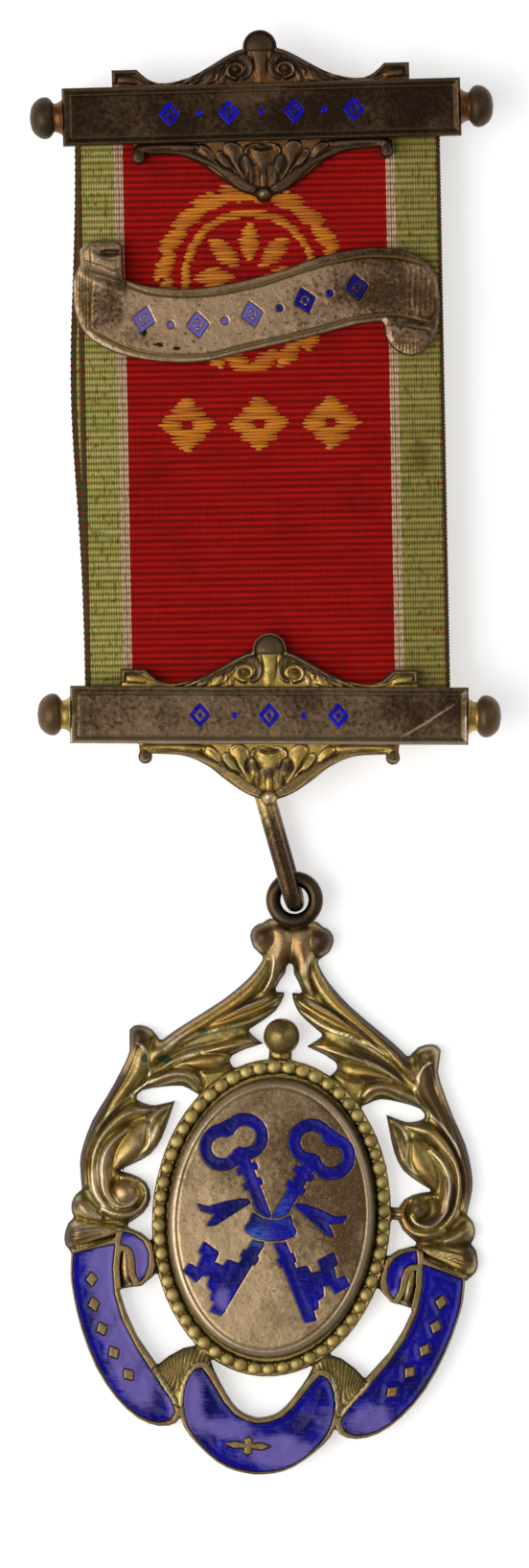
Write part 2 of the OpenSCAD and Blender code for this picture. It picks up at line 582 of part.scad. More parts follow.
lobe_2_top = [[2.6, 18.12, 0.12, 0.3], [4.2, 18.4, 0.3, 0.7], [6.4, 18.3, 0.32, 0.7], [8.8, 17.7, 0.28, 0.6],
    [11.0, 16.7, 0.25, 0.5]];
lobe_2_low = [[2.8, 17.98, 0.12, 0.3], [4.6, 17.5, 0.28, 0.7], [7.0, 17.1, 0.3, 0.8], [9.6, 16.5, 0.3, 0.8],
    [11.8, 15.5, 0.28, 0.7], [13.2, 14.9, 0.22, 0.5]];
lobe_3_ridge = [[6.0, 16.2, 0.3, 0.5], [7.2, 16.1, 0.5, 0.8], [9.0, 15.75, 0.45, 0.8], [11.0, 15.05, 0.3, 0.5]];
lobe_4_ridge = [[9.3, 13.5, 0.4, 0.7], [10.4, 14.15, 0.45, 1.0], [12.0, 14.15, 0.45, 1.0], [13.6, 13.7, 0.4, 1.0],
    [15.0, 13.0, 0.32, 0.8], [16.1, 11.9, 0.25, 0.5]];
scroll_rim = [[15.3, 18.4, 0.8, 1.5], [15.5, 16.9, 0.6, 1.4], [15.9, 15.2, 0.5, 1.3], [16.8, 13.4, 0.5, 1.2],
    [18.2, 10.6, 0.5, 1.2], [19.4, 7.8, 0.5, 1.2], [19.95, 5.0, 0.5, 1.2], [19.8, 2.6, 0.5, 1.2],
    [18.9, 0.3, 0.5, 1.1], [17.2, -1.0, 0.45, 1.0], [15.3, -0.95, 0.45, 1.0], [13.9, -0.05, 0.42, 1.0],
    [13.45, 1.3, 0.4, 1.0], [14.0, 2.55, 0.38, 1.0], [15.3, 3.1, 0.32, 0.8], [16.3, 3.3, 0.2, 0.5]];
shoulder_ridge = [[14.2, 17.6, 0.3, 0.6], [14.3, 16.2, 0.35, 0.9], [14.9, 14.6, 0.35, 0.9], [16.0, 12.9, 0.32, 0.8],
    [17.2, 10.9, 0.25, 0.6]];
scroll_ridge = [[17.6, 9.9, 0.22, 0.5], [18.3, 8.0, 0.35, 0.9], [18.6, 5.6, 0.4, 1.0], [18.4, 3.4, 0.4, 1.0],
    [17.6, 1.4, 0.35, 0.9], [16.6, 0.25, 0.25, 0.6]];
side_leaf_top = [[13.7, 10.7, 0.22, 0.4], [15.0, 10.6, 0.35, 0.8], [16.3, 9.7, 0.35, 0.9], [17.2, 8.0, 0.32, 0.8],
    [17.6, 6.0, 0.22, 0.5]];
side_leaf_body = [[15.2, 9.4, 0.35, 0.5], [15.7, 7.8, 0.8, 1.1], [16.0, 6.2, 0.65, 0.9], [16.6, 4.7, 0.25, 0.4]];
side_leaf_tip = [[11.3, 11.2, 0.12, 0.3], [12.0, 10.1, 0.35, 0.8], [12.6, 8.6, 0.45, 1.0], [13.1, 7.3, 0.45, 1.0],
    [14.0, 6.0, 0.35, 0.8], [15.3, 4.95, 0.2, 0.4]];
side_leaf_vein = [[14.0, 10.1, 0.2, 0.4], [13.95, 8.6, 0.28, 0.8], [14.35, 7.0, 0.25, 0.6], [15.2, 5.7, 0.18, 0.4]];
bulge_ridge = [[20.75, 0.05, 0.55, 0.8], [19.9, -0.6, 0.6, 1.0], [18.6, -1.55, 0.4, 0.8], [16.6, -2.0, 0.25, 0.6]];
collar_ridge = [[21.2, -3.3, 0.75, 1.0], [20.2, -3.15, 0.95, 1.3], [18.9, -2.85, 0.6, 1.1], [17.3, -2.55, 0.35, 0.9],
    [15.8, -2.35, 0.2, 0.6]];
fold_ridge = [[15.0, -4.6, 0.4, 0.9], [14.85, -6.2, 0.5, 1.1], [14.6, -7.8, 0.4, 0.9]];
hatched_ridges = [
    [[10.3, -16.0, 0.35, 0.7], [9.3, -17.6, 0.3, 0.6], [8.7, -19.2, 0.15, 0.3]],
    [[9.4, -15.3, 0.38, 0.8], [8.9, -17.0, 0.32, 0.7], [8.55, -18.8, 0.15, 0.3]],
    [[8.3, -14.8, 0.35, 0.8], [8.25, -16.4, 0.3, 0.7], [8.35, -18.2, 0.15, 0.3]]
];
ridges_of_half = [stem_rim, stem_ridge, lobe_1_top, lobe_1_low, lobe_2_top, lobe_2_low, lobe_3_ridge, lobe_4_ridge,
    shoulder_ridge, scroll_ridge, side_leaf_top, side_leaf_body, side_leaf_tip, side_leaf_vein,
    bulge_ridge, collar_ridge];

module streamer_enamel_shape(g = 0) difference() {
    polygon(grown(concat(curve(streamer_enamel_outer, 2), curve(streamer_enamel_inner, 1)), g));
    for (p = streamer_pads) translate([p.x, p.y]) rotate(p.z) polygon(grown(rhombus([0.95, 0.75]), -g));
}

module fold_enamel_shape(g = 0) polygon(grown(fold_enamel, g));

module crescent_enamel_shape(g = 0) difference() {
    polygon(grown(whole(concat(curve(crescent_enamel_inner, 1), curve(crescent_enamel_outer, 2))), g));
    translate(foil_at) foil_shape(-g);
}

// Four petals, two long and two short.
module foil_shape(g = 0) {
    for (s = [-1, 1]) {
        polygon(grown([[s * 0.2, 0.35], [s * 1.4, 0.5], [s * foil.x, 0.1], [s * 1.5, -0.45], [s * 0.2, -0.35]], g));
        polygon(grown([[0.35, s * 0.2], [0.6, s * 0.75], [0, s * foil.y], [-0.6, s * 0.75], [-0.35, s * 0.2]], g));
    }
    circle(r = 0.55 + g, $fn = 16);
}

// Outlines of the streamers, their folds and the crescent.
module tray_outlines() {
    both_halves() {
        polygon(clean(concat(curve(streamer_outer, 2), curve(streamer_inner, 1))));
        polygon(fold_outline);
        polygon(hatched_outline);
    }
    polygon(whole(concat(curve(crescent_outer, 2), [[6.5, -13.4], [5.6, -14.0]], curve(crescent_inner, 2))));
}

// The rims round the enamel, with their hatched folds left low.
module trays() {
    translate([0, 0, pendant_base - 0.3]) linear_extrude(tray_rim - pendant_base + 0.3) difference() {
        offset(delta = -0.03) difference() {
            tray_outlines();
            both_halves() polygon(hatched_outline);
        }
        both_halves() {
            streamer_enamel_shape(enamel_gap);
            fold_enamel_shape(enamel_gap);
        }
        crescent_enamel_shape(enamel_gap);
        polygon(ellipse(oval + [0.02, 0.02], 72));
    }
}

module beaded_oval() {
    translate([0, 0, 0.8]) linear_extrude(2.05 - 0.8) difference() {
        polygon(ellipse(oval - [0.04, 0.04], 64));
        polygon(ellipse([oval.x - 1.4, oval.y - 1.45], 64));
    }
    // The beads are spaced evenly along the ellipse.
    fine = 720;
    at = [for (i = [0:fine]) [bead_path.x * sin(360 * i / fine), bead_path.y * cos(360 * i / fine)]];
    run = lengths(at);
    step = run[fine] / beads;
    for (k = [0:beads - 1]) let (i = lookup_row(run, (k + 0.5) * step)) bead(at[i]);
}

module bead(at) translate([at.x, at.y, 1.85]) hull() {
    cylinder(h = 0.3, r = bead_radius, $fn = 10);
    cylinder(h = 0.78, r = 0.5 * bead_radius, $fn = 10);
}

bail_at = [0.2, 33.35];
bail_z = 2.8;
// The openwork's middle lies this far to the right of the oval's.
openwork_shift = 0.2;
bail_thickness = 1.7;
ball_at = [-0.2, 19.0];
ball_radius = 1.9;

module bail() {
    r = (bail_diameter - bail_hole) / 4;
    ring = (bail_diameter + bail_hole) / 4;
    k = bail_thickness / 2;
    translate([bail_at.x, bail_at.y, bail_z])
        rotate_extrude($fn = 20) translate([ring, 0])
            polygon([[r, 0], [r * 0.6, k], [-r * 0.6, k], [-r, 0], [-r * 0.6, -k], [r * 0.6, -k]]);
    // The foot that the bail is soldered to.
    hull() {
        translate([-2.2, 30.0, 0]) cube([4.4, 0.5, 2.4]);
        translate([bail_at.x - 1.5, 30.9, 2.0]) cube([3.0, 0.4, 1.4]);
    }
}

module pendant_frame() color(gilt) at_pendant() {
    linear_extrude(pendant_base) union() {
        translate([openwork_shift, 0]) polygon(whole(openwork_outline));
        tray_outlines();
        polygon(ellipse(oval, 64));
        for (s = [-1, 1]) translate([openwork_shift + s * 3.0, 29.3]) circle(r = 1.4, $fn = 16);
        // The small bridge from the right volute to the oval.
        translate([12.0, 0.6]) square([1.3, 1.3]);
    }
    translate([openwork_shift, 0, 0]) both_halves() {
        boss([3.0, 29.3], 1.36, 1.5, pendant_base, 12);
        boss([15.5, 1.7], 1.2, 1.4, pendant_base);
        for (r = ridges_of_half) ridge(r, pendant_base);
        ridge(scroll_rim, pendant_base, 2);
    }
    both_halves() {
        ridge(fold_ridge, pendant_base);
        for (r = hatched_ridges) ridge(r, pendant_base);
    }
    beaded_oval();
    trays();
    bail();
    translate([ball_at.x, ball_at.y, ball_radius]) sphere(r = ball_radius, $fn = 12);
    translate([ball_at.x - 1.2, 16.2, 0.3]) cube([2.4, 1.6, 2.1]);
}

module at_pendant() translate([pendant_at.x, pendant_at.y, 0]) rotate(pendant_lean) children();

module streamer_enamel() color(blue) at_pendant()
    translate([0, 0, pendant_base + 0.05]) linear_extrude(tray_enamel_top - pendant_base - 0.05) {
        both_halves() {
            streamer_enamel_shape();
            fold_enamel_shape();
        }
        crescent_enamel_shape();
    }

// Plaque

plaque_z = 1.75;
plaque_top = 3.7;
// The keys lean this much from the middle line, above the knot and below it.
key_lean = [25.5, 26];
key_shaft = 0.66;
key_bow = [[5.72, 6.97], [3.5, 8.3]];
key_collar = [1.15, 1.05, 0.95];
// Outline of a key's warded bit: along the shaft from the crossing, away from it.
key_bit = [[5.55, 0.3], [5.55, 0.7], [5.75, 1.85], [6.6, 1.95], [6.7, 2.85], [5.6, 2.95], [5.4, 4.95], [6.7, 4.9],
    [6.85, 4.4], [8.15, 4.2], [8.15, 5.1], [9.25, 5.25], [9.55, 3.45], [8.55, 3.2], [8.3, 2.6], [9.3, 2.3], [9.55, 1.55],
    [10.3, 1.35], [10.4, 0.3]];
key_end = [[9.8, -0.3], [10.5, -0.72], [11.2, -0.6], [11.4, 0.7], [10.3, 0.75], [9.8, 0.3]];
knot_band = [[0, -0.2], [0.8, -0.1], [1.45, 0.2], [2.05, 0.5], [2.3, -0.5], [2.75, -1.1], [2.6, -1.6], [1.3, -2.2],
    [0, -2.33]];
knot_tail = [[2.2, 1.5], [2.55, 1.8], [3.4, 1.8], [5.05, 1.35], [6.65, 0.72], [8.0, 0.94], [7.45, 0.2], [6.0, -0.1],
    [6.45, -0.85], [6.75, -1.4], [5.7, -1.17], [4.3, -0.1], [3.15, 0.8]];
// Metal left between the shafts and the knot.
knot_line = 0.25;

module key_shafts(g) {
    // The upper shaft, with its two collars.
    translate([3.15, 5.3]) rotate(-90 - key_lean[0]) {
        translate([-0.9, -key_shaft - g]) square([6.9, 2 * key_shaft + 2 * g]);
        translate([-g, -key_collar[0] - g]) square([0.75 + 2 * g, 2 * key_collar[0] + 2 * g]);
        translate([1.7 - g, -key_collar[1] - g]) square([0.75 + 2 * g, 2 * key_collar[1] + 2 * g]);
    }
    // The lower shaft, which belongs to the other key, with its collar, bit and end.
    translate([0, -0.25]) rotate(-90 + key_lean[1]) {
        translate([0, -key_shaft - g]) square([10.6, 2 * key_shaft + 2 * g]);
        translate([3.9 - g, -key_collar[2] - g]) square([1.0 + 2 * g, 2 * key_collar[2] + 2 * g]);
        polygon(grown(key_bit, g));
        polygon(grown(key_end, g));
    }
}

module emblem(g = 0) rotate(-1) {
    waist = (key_bow[0] + key_bow[1]) / 2;
    along = key_bow[0] - key_bow[1];
    both_halves() {
        difference() {
            union() {
                for (p = key_bow) translate(p) circle(r = 2.42 + g, $fn = 36);
                translate(waist) rotate(atan2(along.y, along.x)) square([norm(along), 4.72 + 2 * g], center = true);
            }
            for (p = key_bow) translate(p) circle(r = 1.17 - g, $fn = 28);
            translate(waist) rotate(atan2(along.y, along.x)) square([1.2, 1.5 - 2 * g], center = true);
        }
        difference() {
            key_shafts(g);
            polygon(grown(whole(knot_band), knot_line - g));
        }
        polygon(grown(knot_tail, g));
    }
    polygon(grown(whole(knot_band), g));
}

module plaque_body() {
    difference() {
        union() {
            linear_extrude(1.1) polygon(ellipse(plaque, 72));
            translate([0, 0, 1.0]) linear_extrude(0.65) polygon(ellipse(plaque - [0.18, 0.18], 72));
            translate([0, 0, 1.5]) linear_extrude(0.35) polygon(ellipse(plaque - [0.4, 0.4], 72));
            translate([0, 0, 1.7]) linear_extrude(plaque_top - plaque_z - 1.7) polygon(ellipse(plaque - [0.62, 0.62], 72));
        }
        translate([0, 0, plaque_top - plaque_z - 0.12]) linear_extrude(1) difference() {
            polygon(ellipse(plaque - [0.95, 0.95], 72));
            polygon(ellipse(plaque - [1.15, 1.15], 72));
        }
        translate([0, 0, plaque_top - plaque_z - enamel_depth]) linear_extrude(2) emblem(enamel_gap);
    }
}

module plaque() color(silver) at_pendant() translate([0, 0, plaque_z]) plaque_body();
module plaque_enamel() color(blue) at_pendant()
    translate([0, 0, plaque_top - enamel_depth + enamel_gap]) linear_extrude(enamel_depth - enamel_gap) emblem();

// Nodes

translate([-middle.x, -middle.y, 0]) {
    top_bar();
    top_bar_enamel();
    brooch_pin();
    ribbon();
    banner_clasp();
    banner_enamel();
    bottom_bar();
    bottom_bar_enamel();
    link();
    pendant_frame();
    plaque();
    plaque_enamel();
    streamer_enamel();
}
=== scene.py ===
"""Fraternal breast jewel, dressed: relief castings, enamel, woven ribbon and embroidery.

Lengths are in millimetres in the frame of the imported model: X to the right, Y from the pendant to the brooch bar,
Z up from the table. Meshes are made in metres.
"""
import math

import bmesh
import bpy
import numpy as np
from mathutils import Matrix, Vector


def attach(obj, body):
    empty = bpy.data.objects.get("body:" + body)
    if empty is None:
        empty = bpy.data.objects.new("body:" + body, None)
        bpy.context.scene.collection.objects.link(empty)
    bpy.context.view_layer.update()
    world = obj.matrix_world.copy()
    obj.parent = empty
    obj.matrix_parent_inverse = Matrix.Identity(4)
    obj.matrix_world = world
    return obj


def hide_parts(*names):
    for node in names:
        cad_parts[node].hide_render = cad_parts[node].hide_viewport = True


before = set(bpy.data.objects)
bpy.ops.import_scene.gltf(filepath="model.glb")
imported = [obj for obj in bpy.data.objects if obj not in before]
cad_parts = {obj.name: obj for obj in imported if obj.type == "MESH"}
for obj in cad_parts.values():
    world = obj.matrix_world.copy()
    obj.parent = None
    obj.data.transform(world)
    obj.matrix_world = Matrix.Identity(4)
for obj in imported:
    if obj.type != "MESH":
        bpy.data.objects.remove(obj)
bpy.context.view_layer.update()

# Sizes and places, named as in the solid model.
MIDDLE = (0.0, 0.01)
RIBBON_WIDTH, RIBBON_DROP, RIBBON_LEAN = 38.0, 62.8, 1.07
BAR_LENGTH, BAR_HEIGHT, BAR_THICKNESS = 41.5, 6.0, 2.2
CLOTH, LOOP_GAP, ROD_Z = 1.0, 1.2, 4.2
FACE_Z = 5.9
PLATE_TOP = FACE_Z + BAR_THICKNESS
CAST_BASE = 0.9
BANNER_THICKNESS, ROLL_HEIGHT = 1.2, 2.5
PENDANT_BASE, TRAY_RIM, TRAY_ENAMEL_TOP = 1.6, 2.6, 2.5
OVAL, BEAD_PATH, BEADS, BEAD_RADIUS = (12.5, 16.65), (11.72, 15.82), 58, 0.77
PLAQUE, PLAQUE_Z, PLAQUE_TOP = (10.9, 14.7), 1.75, 3.7
OPENWORK_SHIFT = 0.2
BAIL_AT, BAIL_Z, BAIL_OUTER, BAIL_HOLE, BAIL_THICKNESS = (0.2, 33.35), 2.8, 6.0, 2.9, 1.7
BALL_AT, BALL_RADIUS = (-0.2, 19.0), 1.9
# The pitches of the reliefs' grids.
PITCH = {"pendant": 0.15, "rims": 0.08, "plaque": 0.12, "emblem": 0.1, "trays": 0.14, "bar ornament": 0.085,
         "bar plate": 0.115, "lozenges": 0.08, "banner": 0.11}
LINK_TOP, LINK_BOTTOM, LINK_WIRE, LINK_HEIGHT, LINK_TWIST, EYE_Z = (-0.75, -2.0), (3.0, -15.2), 1.75, 3.85, 6.0, 2.9


class Place:
    """A piece's own flat frame on the table: its middle and its lean in degrees."""

    def __init__(self, at, lean):
        self.at = np.array(at) - np.array(MIDDLE)
        self.c, self.s = math.cos(math.radians(lean)), math.sin(math.radians(lean))

    def world(self, x, y):
        return self.at[0] + self.c * x - self.s * y, self.at[1] + self.s * x + self.c * y

    def local(self, p):
        x, y = p[..., 0] - self.at[0], p[..., 1] - self.at[1]
        return np.stack([self.c * x + self.s * y, -self.s * x + self.c * y], -1)


TABLE_FRAME = Place((0.0, 0.0), 0.0)
TOP_BAR = Place((-0.41, 66.8), 1.6)
BOTTOM_BAR = Place((0.4, 4.0), -0.25)
RIBBON = Place((-0.3, 35.4), RIBBON_LEAN)
PENDANT = Place((0.63, -48.5), -3.8)


# Outlines

def triangles(node):
    """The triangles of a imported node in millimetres: an array of (n, 3, 3)."""
    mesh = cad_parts[node].data
    mesh.calc_loop_triangles()
    at = np.empty(len(mesh.vertices) * 3)
    mesh.vertices.foreach_get("co", at)
    corners = np.empty(len(mesh.loop_triangles) * 3, dtype=np.int32)
    mesh.loop_triangles.foreach_get("vertices", corners)
    return at.reshape(-1, 3)[corners.reshape(-1, 3)] * 1000


def section(node, z):
    """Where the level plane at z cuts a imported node: segments, an array of (n, 2, 2)."""
    t = triangles(node)
    over = t[:, :, 2] > z
    cut = (over.sum(1) % 3) > 0
    t, over = t[cut], over[cut]
    lone = np.where(over.sum(1) == 1, over.argmax(1), (~over).argmax(1))
    k = np.arange(len(t))
    a, b, c = t[k, lone], t[k, (lone + 1) % 3], t[k, (lone + 2) % 3]

    def at(p, q):
        share = (z - p[:, 2]) / (q[:, 2] - p[:, 2])
        return p[:, :2] + share[:, None] * (q - p)[:, :2]

    return np.stack([at(a, b), at(a, c)], 1)


def ring(points):
    """A closed outline as segments."""
    points = np.array(points, dtype=float)
    return np.stack([points, np.roll(points, -1, 0)], 1)


def ellipse(half, n):
    turn = np.arange(n) * 2 * math.pi / n
    return ring(np.stack([half[0] * np.cos(turn), half[1] * np.sin(turn)], 1))


def curve(rows, steps=6):
    """A smooth line through the rows of a table."""
    p = np.array(rows, dtype=float)
    q = np.vstack([p[0], p, p[-1]])
    made = []
    for i in range(len(p) - 1):
        a, b, c, d = q[i:i + 4]
        for t in np.arange(steps) / steps:
            made.append(0.5 * (2 * b + (c - a) * t + (2 * a - 5 * b + 4 * c - d) * t ** 2
                               + (3 * b - a - 3 * c + d) * t ** 3))
    return np.array(made + [p[-1]])


# Reliefs

# How many pitches outside an outline a grid's points are pulled onto it.
PULLED = 1.6
# The height of the middle row of a relief's walls, as a share of the height of its edge.
WALL_ROW = 0.7


class Grid:
    """A regular grid over an outline, in a piece's own frame. Points just outside are pulled onto the outline.

    d is each point's distance inside the outline, capped at reach.
    """

    def __init__(self, place, lines, pitch, low=None, high=None, reach=1.5):
        self.place, self.pitch, self.reach = place, pitch, reach
        low = lines.reshape(-1, 2).min(0) if low is None else np.array(low, dtype=float)
        high = lines.reshape(-1, 2).max(0) if high is None else np.array(high, dtype=float)
        self.low = low - 1.5 * pitch
        self.shape = tuple(int(n) for n in np.ceil((high - self.low) / pitch + 2)[::-1])
        x = self.low[0] + pitch * np.arange(self.shape[1])
        y = self.low[1] + pitch * np.arange(self.shape[0])
        self.x, self.y = np.meshgrid(x, y)
        self.inside = self.fill(lines)
        self.d, near = self.distance(lines, reach)
        close = ~self.inside & (self.d < PULLED * pitch)
        self.x = np.where(close, near[..., 0], self.x)
        self.y = np.where(close, near[..., 1], self.y)
        self.d = np.where(self.inside, self.d, 0.0)

    def window(self, low, high, margin):
        """The part of the grid that holds a box."""
        a = np.floor((np.array(low) - self.low - margin) / self.pitch).astype(int) - 1
        b = np.ceil((np.array(high) - self.low + margin) / self.pitch).astype(int) + 2
        a, b = np.maximum(a, 0), np.maximum(b, 0)
        return slice(a[1], b[1]), slice(a[0], b[0])

    def fill(self, lines):
        """True inside the outlines, by the even-odd rule."""
        flips = np.zeros(self.shape, dtype=np.int32)
        for (x1, y1), (x2, y2) in lines:
            if y1 > y2:
                x1, y1, x2, y2 = x2, y2, x1, y1
            first = max(math.ceil((y1 - self.low[1]) / self.pitch), 0)
            last = min(math.ceil((y2 - self.low[1]) / self.pitch), self.shape[0])
            if last <= first:
                continue
            j = np.arange(first, last)
            crossing = x1 + (self.low[1] + j * self.pitch - y1) * (x2 - x1) / (y2 - y1)
            i = np.maximum(np.ceil((crossing - self.low[0]) / self.pitch).astype(int), 0)
            held = i < self.shape[1]
            np.add.at(flips, (j[held], i[held]), 1)
        return np.cumsum(flips, 1) % 2 == 1

    def distance(self, lines, reach):
        """The distance to the nearest of these lines, up to reach, and the nearest point."""
        best = np.full(self.shape, reach ** 2)
        near = np.stack([self.x, self.y], -1)
        for a, b in lines:
            w = self.window(np.minimum(a, b), np.maximum(a, b), reach)
            along = b - a
            x, y = self.x[w] - a[0], self.y[w] - a[1]
            t = np.clip((x * along[0] + y * along[1]) / max(along @ along, 1e-12), 0, 1)
            gap = (x - t * along[0]) ** 2 + (y - t * along[1]) ** 2
            better = gap < best[w]
            best[w] = np.where(better, gap, best[w])
            near[w] = np.where(better[..., None], np.stack([a[0] + t * along[0], a[1] + t * along[1]], -1), near[w])
        return np.sqrt(best), near

    def ridges(self, tables, fullness=1.35, power=0.7, onto=None):
        """The height of ridges along smooth lines. Columns of rows: x, y, half width, height."""
        field = np.zeros(self.shape) if onto is None else onto
        for rows in tables:
            line = curve(rows)
            for a, b in zip(line[:-1], line[1:]):
                wide = fullness * max(a[2], b[2])
                w = self.window(np.minimum(a, b)[:2], np.maximum(a, b)[:2], wide)
                if self.x[w].size == 0:
                    continue
                along = (b - a)[:2]
                x, y = self.x[w] - a[0], self.y[w] - a[1]
                t = np.clip((x * along[0] + y * along[1]) / max(along @ along, 1e-12), 0, 1)
                gap = np.hypot(x - t * along[0], y - t * along[1])
                across = gap / (fullness * (a[2] + t * (b[2] - a[2])))
                height = (a[3] + t * (b[3] - a[3])) * np.clip(1 - across ** 2, 0, 1) ** power
                field[w] = np.maximum(field[w], height)
        return field

    def ball(self, at, radius, height):
        """A low round boss."""
        across = np.hypot(self.x - at[0], self.y - at[1]) / radius
        return height * np.clip(1 - across ** 2, 0, 1) ** 0.6


def blurred(field, radius, mask):
    """The mean of a field nearby, over the points where mask is true."""
    def pass_over(values):
        for axis in (0, 1):
            total = np.zeros_like(values)
            for k in range(-radius, radius + 1):
                total += np.roll(values, k, axis) * math.exp(-2.0 * (k / max(radius, 1)) ** 2)
            values = total
        return values
    weight = pass_over(mask.astype(float))
    return pass_over(np.where(mask, field, 0.0)) / np.maximum(weight, 1e-6)


def stains(grid, rows):
    """Tarnish by place, 0 to 1. Rows: x, y, half width, half height, strength."""
    field = np.zeros(grid.shape)
    for x, y, wide, high, strength in rows:
        field += strength * np.exp(-((grid.x - x) / wide) ** 2 - ((grid.y - y) / high) ** 2)
    return np.clip(field, 0, 1)


def thin(rows, half, height=1.0):
    """The table of a thin line that fades at both ends."""
    return [[x, y, half, height * (0.3 if k in (0, len(rows) - 1) else 1.0)] for k, (x, y) in enumerate(rows)]


def both(tables, axis=0.0):
    """Rows or tables for the right half, and the same mirrored."""
    if not isinstance(tables[0][0], list):
        return [*tables, *[[2 * axis - r[0], *r[1:]] for r in tables]]
    return [*tables, *[[[2 * axis - r[0], *r[1:]] for r in rows] for rows in tables]]


def rounded(d, radius):
    """How far a rounded edge lies under the surface, by the distance from the outline."""
    short = np.clip(1 - d / radius, 0, 1)
    return radius * (1 - np.sqrt(1 - short ** 2))


def make_mesh(name, points, faces, values=None, uv=None, smooth=True):
    """An object from points in millimetres and faces. values are float attributes of the points.

    faces holds faces of one length, or is a tuple of such sets, and smooth follows it.
    """
    faces = [np.asarray(f, dtype=np.int32) for f in (faces if isinstance(faces, tuple) else (faces,))]
    corners = np.concatenate([f.ravel() for f in faces])
    sizes = np.concatenate([np.full(len(f), f.shape[1], dtype=np.int32) for f in faces])
    smooth = smooth if isinstance(smooth, tuple) else (smooth,) * len(faces)
    mesh = bpy.data.meshes.new(name)
    mesh.vertices.add(len(points))
    mesh.vertices.foreach_set("co", (np.asarray(points, dtype=float) * 0.001).ravel())
    mesh.loops.add(len(corners))
    mesh.loops.foreach_set("vertex_index", corners)
    mesh.polygons.add(len(sizes))
    mesh.polygons.foreach_set("loop_start", np.cumsum(sizes, dtype=np.int32) - sizes)
    mesh.polygons.foreach_set("loop_total", sizes)
    mesh.polygons.foreach_set("use_smooth", np.concatenate([np.full(len(f), w) for f, w in zip(faces, smooth)]))
    for key, value in (values or {}).items():
        mesh.attributes.new(key, "FLOAT", "POINT").data.foreach_set("value", np.asarray(value, dtype=np.float32))
    if uv is not None:
        layer = mesh.uv_layers.new(name="Weave")
        layer.data.foreach_set("uv", np.asarray(uv, dtype=np.float32)[corners].ravel())
    mesh.validate()
    mesh.update()
    made = bpy.data.objects.new(name, mesh)
    bpy.context.scene.collection.objects.link(made)
    return made


def back_faces(cell, number, block=4):
    """A flat back under a grid's cells: large squares inside, single cells along the outline."""
    rows, columns = (-(-n // block) for n in cell.shape)
    padded = np.zeros((rows * block, columns * block), dtype=bool)
    padded[:cell.shape[0], :cell.shape[1]] = cell
    whole = padded.reshape(rows, block, columns, block).all((1, 3))
    single = cell & ~np.repeat(np.repeat(whole, block, 0), block, 1)[:cell.shape[0], :cell.shape[1]]
    quads = np.stack([number[:-1, :-1], number[1:, :-1], number[1:, 1:], number[:-1, 1:]], -1)[single]
    around = np.pad(whole, 1)
    row, column = np.nonzero(whole)
    middle = number[row * block + block // 2, column * block + block // 2]
    triangles = []
    for (j, i), (dj, di), (up, right) in (((0, 0), (0, 1), (-1, 0)), ((0, 1), (1, 0), (0, 1)),
                                          ((1, 1), (0, -1), (1, 0)), ((1, 0), (-1, 0), (0, -1))):
        joins = around[1 + row + up, 1 + column + right]
        for a, b, chosen in [(0, block, joins)] + [(k, k + 1, ~joins) for k in range(block)]:
            start = number[(row + j) * block + a * dj, (column + i) * block + a * di]
            end = number[(row + j) * block + b * dj, (column + i) * block + b * di]
            triangles.append(np.stack([middle, end, start], 1)[chosen])
    return quads, np.concatenate(triangles)


def relief(name, grid, z, bottom, values=None, keep=None):
    """A closed form over a grid's outline: its face at z, walls down to bottom, and a flat back."""
    held = grid.inside if keep is None else grid.inside & keep
    cell = held[:-1, :-1] | held[1:, :-1] | held[:-1, 1:] | held[1:, 1:]
    # No two cells may meet at a corner alone.
    cell[:-1, 1:] |= cell[:-1, :-1] & cell[1:, 1:] & ~cell[1:, :-1]
    cell[:-1, :-1] |= cell[:-1, 1:] & cell[1:, :-1] & ~cell[1:, 1:]
    used = np.zeros(grid.shape, dtype=bool)
    for dj in (0, 1):
        for di in (0, 1):
            used[dj:dj + cell.shape[0], di:di + cell.shape[1]] |= cell
    number = np.full(grid.shape, -1)
    number[used] = np.arange(used.sum())
    faces = np.stack([number[:-1, :-1], number[:-1, 1:], number[1:, 1:], number[1:, :-1]], -1)[cell]
    x, y = grid.place.world(grid.x[used], grid.y[used])
    points = np.stack([x, y, z[used]], 1)
    # The edges that belong to one face only, in the direction that keeps the face on their left.
    sides = np.concatenate([faces[:, [k, (k + 1) % 4]] for k in range(4)])
    code = sides[:, 0].astype(np.int64) * (number.max() + 1) + sides[:, 1]
    back = sides[:, 1].astype(np.int64) * (number.max() + 1) + sides[:, 0]
    rim = sides[~np.isin(code, back)]
    on_rim = np.unique(rim)
    foot = np.full(len(points), -1)
    foot[on_rim] = len(points) + np.arange(len(on_rim))
    middle = foot + len(on_rim)
    low = points[on_rim].copy()
    low[:, 2] = bottom
    half = points[on_rim].copy()
    half[:, 2] = (1 - WALL_ROW) * bottom + WALL_ROW * half[:, 2]
    walls = np.concatenate([
        np.stack([rim[:, 1], rim[:, 0], middle[rim[:, 0]], middle[rim[:, 1]]], 1),
        np.stack([middle[rim[:, 1]], middle[rim[:, 0]], foot[rim[:, 0]], foot[rim[:, 1]]], 1),
    ])
    quads, triangles = back_faces(cell, number)
    inner = np.setdiff1d(np.concatenate([quads.ravel(), triangles.ravel()]), on_rim)
    under = foot.copy()
    under[inner] = len(points) + 2 * len(on_rim) + np.arange(len(inner))
    flat = points[inner].copy()
    flat[:, 2] = bottom
    given = {k: np.concatenate([v[used], np.tile(v[used][on_rim], 2), v[used][inner]])
             for k, v in (values or {}).items()}
    return make_mesh(name, np.concatenate([points, low, half, flat]),
                     (np.concatenate([faces, walls]), under[quads], under[triangles]), given,
                     smooth=(True, False, False))


